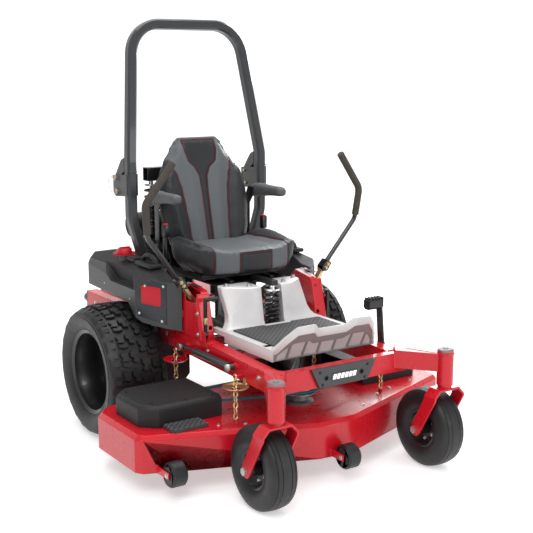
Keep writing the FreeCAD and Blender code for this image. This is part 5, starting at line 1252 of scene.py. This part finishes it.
def knee_shell():
    """Two upright cover lobes either side of the front shock, swept back outwards, with a flared foot."""
    back = -0.180
    bm = bmesh.new()
    for side in (1, -1):
        rings = []
        for z, fold, outer, front, corner in COVER_LEVELS:
            spots = [(0.052, back), (0.052, front), (fold, front + 0.002), (outer - 0.012, corner - 0.004),
                     (outer, corner + 0.008), (outer, corner + 0.040), (outer - 0.010, corner + 0.041),
                     (outer - 0.010, back)]
            rings.append([bm.verts.new((side * x, y, z)) for x, y in spots])
        loft(bm, rings, material=lambda i: int(i >= 5))
    finished("knee_shell", bm, ("silver", "black"), "platform", "silver_cover", ("knee_cover",), 0.004, 3)


def skirt():
    """Turned-down edge round the pan, the rim of the shock's bay and the mat in the pan."""
    bm = bmesh.new()
    for side in (1, -1):
        side_block(bm, side, 0.250, 0.2582, -0.690, -0.330, SKIRT_LOW, PAN_TOP + 0.001)
        side_block(bm, side, 0.200, 0.2575, -0.6895, -0.630, PAN_TOP - 0.012, PAN_TOP + 0.0002)
    block(bm, (-0.064, -0.358, PAN_TOP - 0.004), (0.064, -0.345, PAN_TOP + 0.010))
    finished("pan_skirt", bm, "silver", "platform", "silver_cover", round_by=0.003, segments=3)
    bm = bmesh.new()
    outline = [(-0.222, -0.342), (-0.222, -0.646), (-0.206, -0.660), (0.206, -0.660), (0.222, -0.646),
               (0.222, -0.342), (0.070, -0.342), (0.066, -0.360), (-0.066, -0.360), (-0.070, -0.342)]
    plate(bm, outline, PAN_TOP + 0.0003, PAN_TOP + 0.006)
    finished("pan_mat", bm, "mat", "platform", "rubber", ("floor_mats",), 0.0012)


def platform():
    fold = sizes().fold_round
    soften("foot_platform", "silver", fold, reshape=pan_only)
    toe_guard()
    knee_shell()
    skirt()
    soften("suspension_frame", "black", fold * 0.8)
    rows = [((x, y, 0.717), (0, 0, 1), 0.009, 0.012) for x, y in ((0.090, -0.262), (0.176, -0.214))]
    bolts("cover_bolts", rows, "zinc", "platform", "zinc")
    shocks()


def shocks():
    """Coil springs round the three shocks."""
    dress("black", "shock_bodies")
    dress("chrome", "shock_rods")
    turns, radius, wire, seat_gap, travel = sizes().coil_turns, 0.0285, 0.0060, 0.0225, 0.045
    for name, x, y, low, high in (("front", 0, -0.307, 0.488, 0.720),
                                  ("rear_left", 0.212, 0.395, 0.858, 1.122),
                                  ("rear_right", -0.212, 0.395, 0.858, 1.122)):
        start, end = low + seat_gap, high - seat_gap
        steps = turns * 24
        line = []
        for k in range(steps + 1):
            t = k / steps
            ease = t + 0.03 * math.sin(math.tau * t)
            angle = math.tau * turns * t
            line.append(Vector((x + radius * math.cos(angle), y + radius * math.sin(angle),
                                start + wire + (end - start - 2 * wire) * ease)))
        bm = bmesh.new()
        tube(bm, line, wire, 8)
        obj = finished("coil_" + name, bm, "black", "chassis", "black_paint", ("shock_springs",))
        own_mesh(obj)


# ---------------------------------------------------------------- seat
BACK_FOOT = Vector((0, 0.172, 0.806))
BACK_LEAN = Matrix.Rotation(math.radians(-13), 4, "X")


def back_point(x, height, depth):
    """A point of the seat back, from its own width, height and depth to the machine's frame."""
    return BACK_FOOT + BACK_LEAN @ Vector((x, depth, height))


def step_to(value, low, high):
    t = min(1.0, max(0.0, (value - low) / (high - low)))
    return t * t * (3 - 2 * t)


def along(points, value):
    """Read a value off a list of (place, value) pairs, smoothly between them."""
    for (a, x), (b, y) in zip(points, points[1:]):
        if value <= b:
            return x + (y - x) * step_to(value, a, b)
    return points[-1][1]


BACK_HIGH = 0.553
BACK_HALF = [(0.0, 0.190), (0.05, 0.216), (0.12, 0.234), (0.20, 0.244), (0.30, 0.244), (0.37, 0.230),
             (0.428, 0.202), (0.488, 0.162), (0.528, 0.132), (BACK_HIGH, 0.104)]
HEAD_EDGE = [(0.0, 0.013), (0.158, 0.014), (0.258, 0.015), (0.348, 0.019), (0.383, 0.034),
             (0.430, 0.074), (0.478, 0.084),
             (0.528, 0.087)]
WING_EDGE = [(0.0, 0.100), (0.118, 0.106), (0.208, 0.114), (0.288, 0.122), (0.348, 0.136),
             (0.398, 0.154), (0.458, 0.180),
             (BACK_HIGH, 0.200)]


def seat_back_form():
    """Start shape of the back: rings over its height, bolsters forward, a channel down the middle."""
    bm = bmesh.new()
    rings = []
    steps, sides = 34, 36
    for k in range(steps + 1):
        v = 0.004 + (BACK_HIGH - 0.010) * k / steps
        half = along(BACK_HALF, v) - 0.008
        thick = 1 - 0.55 * step_to(v, 0.43, 0.55) - 0.12 * (1 - step_to(v, 0.0, 0.06))
        wing = along(WING_EDGE, v)
        ring = []
        for i in range(2 * sides):
            front = i < sides
            a = -1 + 2 * (i % sides) / (sides - 1)
            a = a if front else -a
            x = half * a
            roll = abs(a) ** 9
            if front:
                bolster = 0.034 * step_to(abs(x), wing - 0.01, wing + 0.060) * (1 - step_to(v, 0.34, 0.47))
                strip = 0.010 * math.exp(-((abs(x) - wing * 0.55) / 0.035) ** 2)
                w = 0.026 - bolster - strip + 0.034 * roll + 0.012 * step_to(v, 0.42, 0.54)
            else:
                w = 0.024 + 0.064 * thick - 0.030 * roll
            ring.append(bm.verts.new(back_point(x, v, w)))
        rings.append(ring)
    loft(bm, rings)
    return bm


def cushion_top(x, y):
    """Height of the cushion's top: bolsters at the sides that rise towards the back, a front roll."""
    back = step_to(y, -0.16, 0.12)
    bolster = (0.024 + 0.022 * back) * step_to(abs(x), 0.125, 0.240)
    return 0.848 + bolster + 0.008 * (1 - step_to(y, -0.20, -0.08))


def cushion_form():
    """Start shape of the cushion, mapped from a cube with its front bowed forward."""
    bm = bmesh.new()
    bmesh.ops.create_cube(bm, size=2)
    bmesh.ops.subdivide_edges(bm, edges=list(bm.edges), cuts=15, use_grid_fill=True)
    for vert in bm.verts:
        a, b, c = vert.co
        rear = (b + 1) / 2
        half = 0.284 - 0.026 * (1 - rear) ** 2 - 0.046 * max(0.0, rear - 0.62) / 0.38
        x = half * a
        front = -0.200 + 0.082 * abs(a) ** 2.4
        y = front + (0.222 - 0.050 * abs(a) ** 3 - front) * rear
        low = 0.752 + 0.012 * (1 - step_to(rear, 0.0, 0.15))
        z = low + (cushion_top(x, y) - low) * (c + 1) / 2
        tuck = 0.018 * (1 - (c + 1) / 2) * abs(a) ** 8 + 0.024 * (1 - step_to(z, 0.764, 0.806)) * abs(a) ** 6
        vert.co = Vector((x - math.copysign(tuck, a), y, z))
    return bm


def stuff(name, bm, voxel, ease_steps, cap):
    """Remesh a start shape, let cloth pressure swell it by no more than a cap, and refine it once."""
    obj = placed(name, mesh_of(bm, name))
    remesh = obj.modifiers.new("skin", "REMESH")
    remesh.mode = "VOXEL"
    remesh.voxel_size = voxel
    ease = obj.modifiers.new("ease", "SMOOTH")
    ease.factor = 0.5
    ease.iterations = ease_steps
    obj.data = baked(obj)
    start = [v.co.copy() for v in obj.data.vertices]
    frames = 20
    cloth = obj.modifiers.new("cloth", "CLOTH")
    cloth.settings.quality = 4
    cloth.settings.mass = 0.25
    cloth.settings.use_pressure = True
    cloth.settings.uniform_pressure_force = 4
    cloth.settings.effector_weights.gravity = 0
    cloth.collision_settings.use_collision = False
    cloth.collision_settings.use_self_collision = False
    cloth.point_cache.frame_start, cloth.point_cache.frame_end = 1, frames
    scene = bpy.context.scene
    for number in range(1, frames + 1):
        scene.frame_set(number)
    swollen = baked(obj)
    for vert, before, after in zip(obj.data.vertices, start, swollen.vertices):
        move = after.co - before
        if move.length > cap:
            move *= cap / move.length
        vert.co = before + move
    scene.frame_set(1)
    subdivide(obj, 1)
    obj.data = baked(obj)
    return obj


def mark_panels(obj, rule, seams, width=0.0055, depth=0.0045):
    """Write which panel each point is in and sink the surface along the seams."""
    mesh = obj.data
    count = len(mesh.vertices)
    co, normals = np.empty(count * 3), np.empty(count * 3)
    mesh.vertices.foreach_get("co", co)
    mesh.vertices.foreach_get("normal", normals)
    co, normals = co.reshape(-1, 3), normals.reshape(-1, 3)
    near = np.full(count, 1.0)
    for line in seams:
        line = np.array(line)
        for a, b in zip(line, line[1:]):
            way = b - a
            t = np.clip(((co - a) @ way) / (way @ way), 0, 1)
            near = np.minimum(near, np.linalg.norm(co - (a + t[:, None] * way), axis=1))
    co -= normals * (depth * np.exp(-(near / width) ** 2))[:, None]
    mesh.vertices.foreach_set("co", co.ravel())
    blend = 0.02
    panel = np.array([0.5 + max(-0.5, min(0.5, rule(p, n) / blend)) for p, n in zip(co, normals)])
    for name, values in (("panel", panel), ("seam", np.clip(near / blend, 0, 1))):
        attribute = mesh.attributes.new(name, "FLOAT", "POINT")
        attribute.data.foreach_set("value", values.astype(np.float32))
    mesh.update()


def laid_on(tree, points, towards):
    """Drop the points of a line on a surface, along a direction."""
    line = []
    for point in points:
        hit = tree.ray_cast(Vector(point) - Vector(towards) * 0.25, Vector(towards), 0.6)
        if hit[0] is not None:
            line.append(hit[0])
    return line


def seat():
    soften("seat_base", "black", sizes().fold_round * 0.6)
    upholstered_back()
    upholstered_cushion()
    armrests()
    buckles()


HEAD_TOP = 0.526
FRONT_INNER, FRONT_OUTER = 0.082, 0.192
TOP_EDGE = [(-0.20, 0.192), (-0.10, 0.188), (0.0, 0.178), (0.10, 0.168), (0.25, 0.160)]


def upholstered_back():
    back = stuff("seat_back_pad", seat_back_form(), 0.0062, 8, 0.007)
    tree = BVHTree.FromObject(back, bpy.context.evaluated_depsgraph_get())
    forward = BACK_LEAN @ Vector((0, 1, 0))
    seams = []
    for edge, top in ((HEAD_EDGE, HEAD_TOP), (WING_EDGE, 0.49)):
        for side in (1, -1):
            heights = [0.012 + (top - 0.012) * k / 60 for k in range(61)]
            seams.append(laid_on(tree, [back_point(side * along(edge, v), v, 0) for v in heights], forward))
    across = [back_point(-0.087 + 0.174 * k / 24, HEAD_TOP, 0) for k in range(25)]
    seams.append(laid_on(tree, across, forward))

    def rule(point, normal):
        local = BACK_LEAN.inverted() @ (Vector(point) - BACK_FOOT)
        x, v = abs(local.x), local.z
        facing = Vector(normal).dot(forward)
        inside = 0.02 if v > HEAD_TOP else min(x - along(HEAD_EDGE, v), along(WING_EDGE, v) - x)
        return min(inside, (0.25 - facing) * 0.05 if v < 0.50 else (0.75 - facing) * 0.05)

    mark_panels(back, rule, seams)
    upholster(back, "seat_back", seams)


def upholstered_cushion():
    pad = stuff("cushion_pad", cushion_form(), 0.0062, 9, 0.008)
    tree = BVHTree.FromObject(pad, bpy.context.evaluated_depsgraph_get())
    down, rear = Vector((0, 0, -1)), Vector((0, 1, 0))
    seams = []
    for side in (1, -1):
        line = [(side * along(TOP_EDGE, y), y, 0.85) for y in (-0.180 + 0.37 * k / 40 for k in range(41))]
        seams.append(laid_on(tree, line, down))
        for x in (FRONT_INNER, FRONT_OUTER):
            seams.append(laid_on(tree, [(side * x, 0, 0.762 + 0.082 * k / 12) for k in range(13)], rear))
    seams.append(laid_on(tree, [(FRONT_INNER * (k / 12 - 1), 0, 0.846) for k in range(25)], rear))

    def rule(point, normal):
        x, y, z = abs(point[0]), point[1], point[2]
        if normal[1] < -0.55 and z < 0.852:
            return min(x - FRONT_INNER, FRONT_OUTER - x)
        if normal[2] > 0.1:
            return along(TOP_EDGE, y) - x
        return -0.02

    mark_panels(pad, rule, seams)
    upholster(pad, "seat_cushion", seams)


def upholster(obj, node, seams):
    """Finish a stuffed pad in vinyl, stand it in for its node and lay piping in the seams."""
    painted(obj.data, "vinyl")
    obj.data.shade_smooth()
    obj.name = node + "_upholstery"
    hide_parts(node)
    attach(obj, "seat")
    bm = bmesh.new()
    for line in seams:
        if len(line) > 3:
            tube(bm, smooth_line(line[::2] + line[-1:], 2), sizes().piping * 0.45, 6)
    finished(node + "_piping", bm, "piping", "seat", "vinyl")


REST_STATIONS = ((0.270, 1.052, 0.014, 0.6), (0.262, 1.058, 0.024, 0.85), (0.240, 1.062, 0.029, 0.95),
                 (0.205, 1.066, 0.029, 1.0), (0.150, 1.068, 0.026, 0.98), (0.090, 1.070, 0.022, 0.95),
                 (0.030, 1.072, 0.020, 0.95), (-0.020, 1.073, 0.020, 0.96), (-0.040, 1.072, 0.018, 0.86),
                 (-0.052, 1.070, 0.012, 0.62), (-0.057, 1.068, 0.005, 0.3))


REST_REAR, REST_LONG, REST_THICK = 0.270, 0.79, 1.15


def armrests():
    """Moulded teardrop rests, thick at the front, on the pins of the seat's side plates."""
    for name, side in SIDES:
        low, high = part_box("armrest_" + name)
        inner, outer = sorted((abs(low.x), abs(high.x)))
        middle, half = (inner + outer) / 2, (outer - inner) / 2
        bm = bmesh.new()
        rings = []
        for y, z, high_half, wide in REST_STATIONS:
            y = REST_REAR - (REST_REAR - y) * REST_LONG
            high_half *= REST_THICK
            ring = []
            for k in range(20):
                a = math.tau * k / 20
                c, t = math.cos(a), math.sin(a)
                ring.append(bm.verts.new((side * (middle + half * wide * math.copysign(abs(c) ** 0.7, c)), y,
                                          z + high_half * math.copysign(abs(t) ** 0.75, t))))
            rings.append(ring)
        loft(bm, rings)
        obj = placed("rest_form", mesh_of(bm, "rest_form"))
        subdivide(obj, 2)
        mesh = shaped(obj)
        mesh.materials.clear()
        piece_from("armrest_moulding_" + name, mesh, "armrest", "armrest_" + name + "_body", "light_plastic",
                   ("armrest_" + name,))


def buckles():
    shell, button = bmesh.new(), bmesh.new()
    for side in (1, -1):
        block(shell, (side * 0.262 - 0.005, 0.150, 0.772), (side * 0.262 + 0.005, 0.184, 0.905))
        block(shell, (side * 0.264 - 0.013, 0.146, 0.888), (side * 0.264 + 0.013, 0.176, 0.946))
        block(button, (side * 0.264 - 0.009, 0.150, 0.938), (side * 0.264 + 0.009, 0.172, 0.952))
    finished("belt_buckles", shell, "black", "seat", "black_paint", round_by=0.004)
    finished("buckle_buttons", button, "red_moulding", "seat", "red_plastic", round_by=0.002)


# ---------------------------------------------------------------- deck
def deck():
    s = sizes()
    soften("deck_shell", "red", s.fold_round)
    soften("belt_covers", "moulding", s.mould_round, 3)
    soften("step_pad", "mat", 0.002)
    dress("cast", "spindle_housings")
    dress("belt", "deck_belt")
    dress("steel", "spindle_left", "spindle_centre", "spindle_right")
    for name in ("left", "middle", "right"):
        soften("roller_" + name, "tyre", 0.004, 3)
    rows = [((x, y, 0.336), (0, 0, 1), 0.007, 0.005) for x, y in
            ((0.40, -0.452), (0.52, -0.462), (0.66, -0.43), (0.68, -0.24), (0.52, -0.19), (0.40, -0.19))]
    bolts("cover_screws", rows, "black", "deck", "black_paint")
    rows = [((x, y, 0.250), (0, 0, 1), s.bolt, 0.006) for x, y in
            ((0.34, -0.62), (0.44, -0.58), (0.60, -0.53), (0.30, -0.15), (0.55, -0.14), (0.20, -0.70))]
    bolts("deck_bolts", rows, "zinc", "deck", "zinc")
    bm = bmesh.new()
    for x, y in ((0.668, -0.638), (-0.668, -0.638), (0, -0.854)):
        for way in (1, -1):
            bolt_head(bm, (x + way * 0.039, y, 0.116), (way, 0, 0), 0.007, 0.004)
    finished("roller_bolts", bm, "zinc", "deck", "zinc")


# ---------------------------------------------------------------- engine and drives
def engine():
    s = sizes()
    soften("engine_guard", "black", s.fold_round * 0.6)
    soften("engine_shroud", "moulding", s.mould_round, 3)
    dress("cast", "engine_block")
    dress("charcoal", "hydro_drives")
    dress("black", "crank_clutch")
    middle = 0.640
    bm = bmesh.new()
    for k in range(14):
        tube(bm, circle((0, middle, 0.8392), 0.020 + 0.0068 * k, 48), 0.0014, 5, True)
    for start, end in zip(circle((0, middle, 0.8398), 0.012, 12), circle((0, middle, 0.8398), 0.112, 12)):
        tube(bm, [start, end], 0.0016, 5)
    finished("blower_screen", bm, "steel", "chassis", "engine_metal")


# ---------------------------------------------------------------- stage
def studio():
    """Curved backdrop, a dim white world, four soft lamps and the camera."""
    scene = bpy.context.scene
    scene.view_settings.view_transform = "Standard"
    bend, reach = 2.5, 4.0
    profile = [(-9.0, 0.0), (reach, 0.0)]
    profile += [(reach + bend * math.sin(a), bend - bend * math.cos(a))
                for a in (math.pi / 2 * k / 12 for k in range(1, 13))]
    profile.append((reach + bend, 8.0))
    bm = bmesh.new()
    turn = Matrix.Rotation(CAMERA_TURN, 4, "Z")
    rows = [[bm.verts.new(turn @ Vector((x, y, z))) for y, z in profile] for x in (-14.0, 14.0)]
    for i in range(len(profile) - 1):
        bm.faces.new((rows[0][i], rows[1][i], rows[1][i + 1], rows[0][i + 1]))
    mesh = mesh_of(bm, "backdrop")
    if any(poly.normal.z < -0.5 for poly in mesh.polygons):
        mesh.flip_normals()
    floor = placed("backdrop", mesh)
    mesh.shade_smooth()
    mesh.materials.append(backdrop_finish())

    world = bpy.data.worlds.new("studio")
    scene.world = world
    world.use_nodes = True
    back = world.node_tree.nodes["Background"]
    back.inputs["Color"].default_value = (1, 1, 1, 1)
    back.inputs["Strength"].default_value = 0.55
    for name, place, aim, wide, high, power in (
            ("key", (-3.2, -3.6, 4.6), (0, -0.1, 0.6), 2.6, 2.6, 150),
            ("top", (0.4, 0.2, 4.6), (0, 0, 0.4), 3.4, 3.0, 110),
            ("rim", (3.6, 2.4, 3.0), (0, 0.2, 0.8), 1.6, 2.6, 90),
            ("front", (1.8, -4.6, 1.8), (0.2, -0.4, 0.4), 2.0, 1.6, 40)):
        data = bpy.data.lights.new(name, "AREA")
        data.shape = "RECTANGLE"
        data.size, data.size_y, data.energy = wide, high, power
        light = placed(name, data)
        light.location = place
        light.rotation_euler = (Vector(aim) - Vector(place)).to_track_quat("-Z", "Y").to_euler()

    camera = bpy.data.cameras.new("camera")
    camera.lens, camera.sensor_width = 70.89, 36
    view = placed("camera", camera)
    view.location = (-2.4815, -3.9864, 1.6381)
    view.rotation_euler = (math.radians(90 - 10.692), 0, CAMERA_TURN)
    scene.camera = view


def backdrop_finish():
    """Pale matt floor that shows as plain white to the eye and keeps a soft shadow."""
    finish = Finish("backdrop", (0.86, 0.86, 0.86), 0.85)
    path = finish.add("ShaderNodeLightPath").outputs
    seen = finish.math("MAXIMUM", path["Is Camera Ray"], path["Is Glossy Ray"])
    glow = finish.add("ShaderNodeEmission")
    both = finish.add("ShaderNodeAddShader")
    finish.link(finish.math("MULTIPLY", seen, 0.45), glow.inputs["Strength"])
    finish.link(finish.shader.outputs[0], both.inputs[0]).link(glow.outputs[0], both.inputs[1])
    finish.link(both.outputs[0], finish.tree.nodes["Material Output"].inputs["Surface"])
    return finish.mat


# ---------------------------------------------------------------- operators, panel and run
class BuildStep(bpy.types.Operator):
    """A step of the build"""
    bl_idname = "mower.step"
    bl_label = "Build step"
    bl_options = {"REGISTER", "UNDO"}
    make = staticmethod(lambda: None)

    def execute(self, context):
        self.make()
        return {"FINISHED"}


class MOWER_OT_wheels(BuildStep):
    """Drive wheels: tyres with staggered tread and deep dished rims"""
    bl_idname = "mower.wheels"
    bl_label = "Drive wheels"
    make = staticmethod(drive_wheels)


class MOWER_OT_casters(BuildStep):
    """Front casters: forks, tyres, rims and axle bolts"""
    bl_idname = "mower.casters"
    bl_label = "Casters"
    make = staticmethod(casters)


class MOWER_OT_frame(BuildStep):
    """Main frame with its welds and bolts, and the light bar"""
    bl_idname = "mower.frame"
    bl_label = "Frame and light bar"
    make = staticmethod(frame_pieces)


class MOWER_OT_roll_bar(BuildStep):
    """Folding roll bar with its hinge pins"""
    bl_idname = "mower.roll_bar"
    bl_label = "Roll bar"
    make = staticmethod(roll_bar)


class MOWER_OT_levers(BuildStep):
    """Control towers, drive levers, grips and the brake and lock levers"""
    bl_idname = "mower.levers"
    bl_label = "Towers and levers"
    make = staticmethod(levers)


class MOWER_OT_fenders(BuildStep):
    """Fenders, tank cap, lift pedal, lift strut and chains"""
    bl_idname = "mower.fenders"
    bl_label = "Fenders and lift gear"
    make = staticmethod(fenders)


class MOWER_OT_platform(BuildStep):
    """Sprung platform with its mats, knee cover and shocks"""
    bl_idname = "mower.platform"
    bl_label = "Platform and shocks"
    make = staticmethod(platform)


class MOWER_OT_seat(BuildStep):
    """Upholstered seat with its piping, armrests and buckles"""
    bl_idname = "mower.seat"
    bl_label = "Seat"
    make = staticmethod(seat)


class MOWER_OT_deck(BuildStep):
    """Mowing deck with its covers, step pad, spindles and rollers"""
    bl_idname = "mower.deck"
    bl_label = "Mowing deck"
    make = staticmethod(deck)


class MOWER_OT_engine(BuildStep):
    """Engine, rear guard and drives"""
    bl_idname = "mower.engine"
    bl_label = "Engine and drives"
    make = staticmethod(engine)


class MOWER_OT_studio(BuildStep):
    """Floor, lamps and camera"""
    bl_idname = "mower.studio"
    bl_label = "Studio"
    make = staticmethod(studio)


STEPS = (MOWER_OT_wheels, MOWER_OT_casters, MOWER_OT_frame, MOWER_OT_roll_bar, MOWER_OT_levers,
         MOWER_OT_fenders, MOWER_OT_platform, MOWER_OT_seat, MOWER_OT_deck, MOWER_OT_engine, MOWER_OT_studio)


class MOWER_PT_panel(bpy.types.Panel):
    """Sizes, colours and build steps of the mower"""
    bl_idname = "MOWER_PT_panel"
    bl_label = "Zero turn mower"
    bl_space_type = "VIEW_3D"
    bl_region_type = "UI"
    bl_category = "Mower"

    def draw(self, context):
        for group in (context.scene.mower_sizes, context.scene.mower_colours):
            box = self.layout.box()
            for name in group.__annotations__:
                box.prop(group, name)
        for step in STEPS:
            self.layout.operator(step.bl_idname)


CLASSES = (MowerColours, MowerSizes, *STEPS, MOWER_PT_panel)


def register():
    for item in CLASSES:
        bpy.utils.register_class(item)
    bpy.types.Scene.mower_colours = bpy.props.PointerProperty(type=MowerColours)
    bpy.types.Scene.mower_sizes = bpy.props.PointerProperty(type=MowerSizes)


def unregister():
    del bpy.types.Scene.mower_sizes
    del bpy.types.Scene.mower_colours
    for item in reversed(CLASSES):
        bpy.utils.unregister_class(item)


def main():
    register()
    for step in STEPS:
        group, name = step.bl_idname.split(".")
        getattr(getattr(bpy.ops, group), name)()
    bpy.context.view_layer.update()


if __name__ == "__main__":
    main()
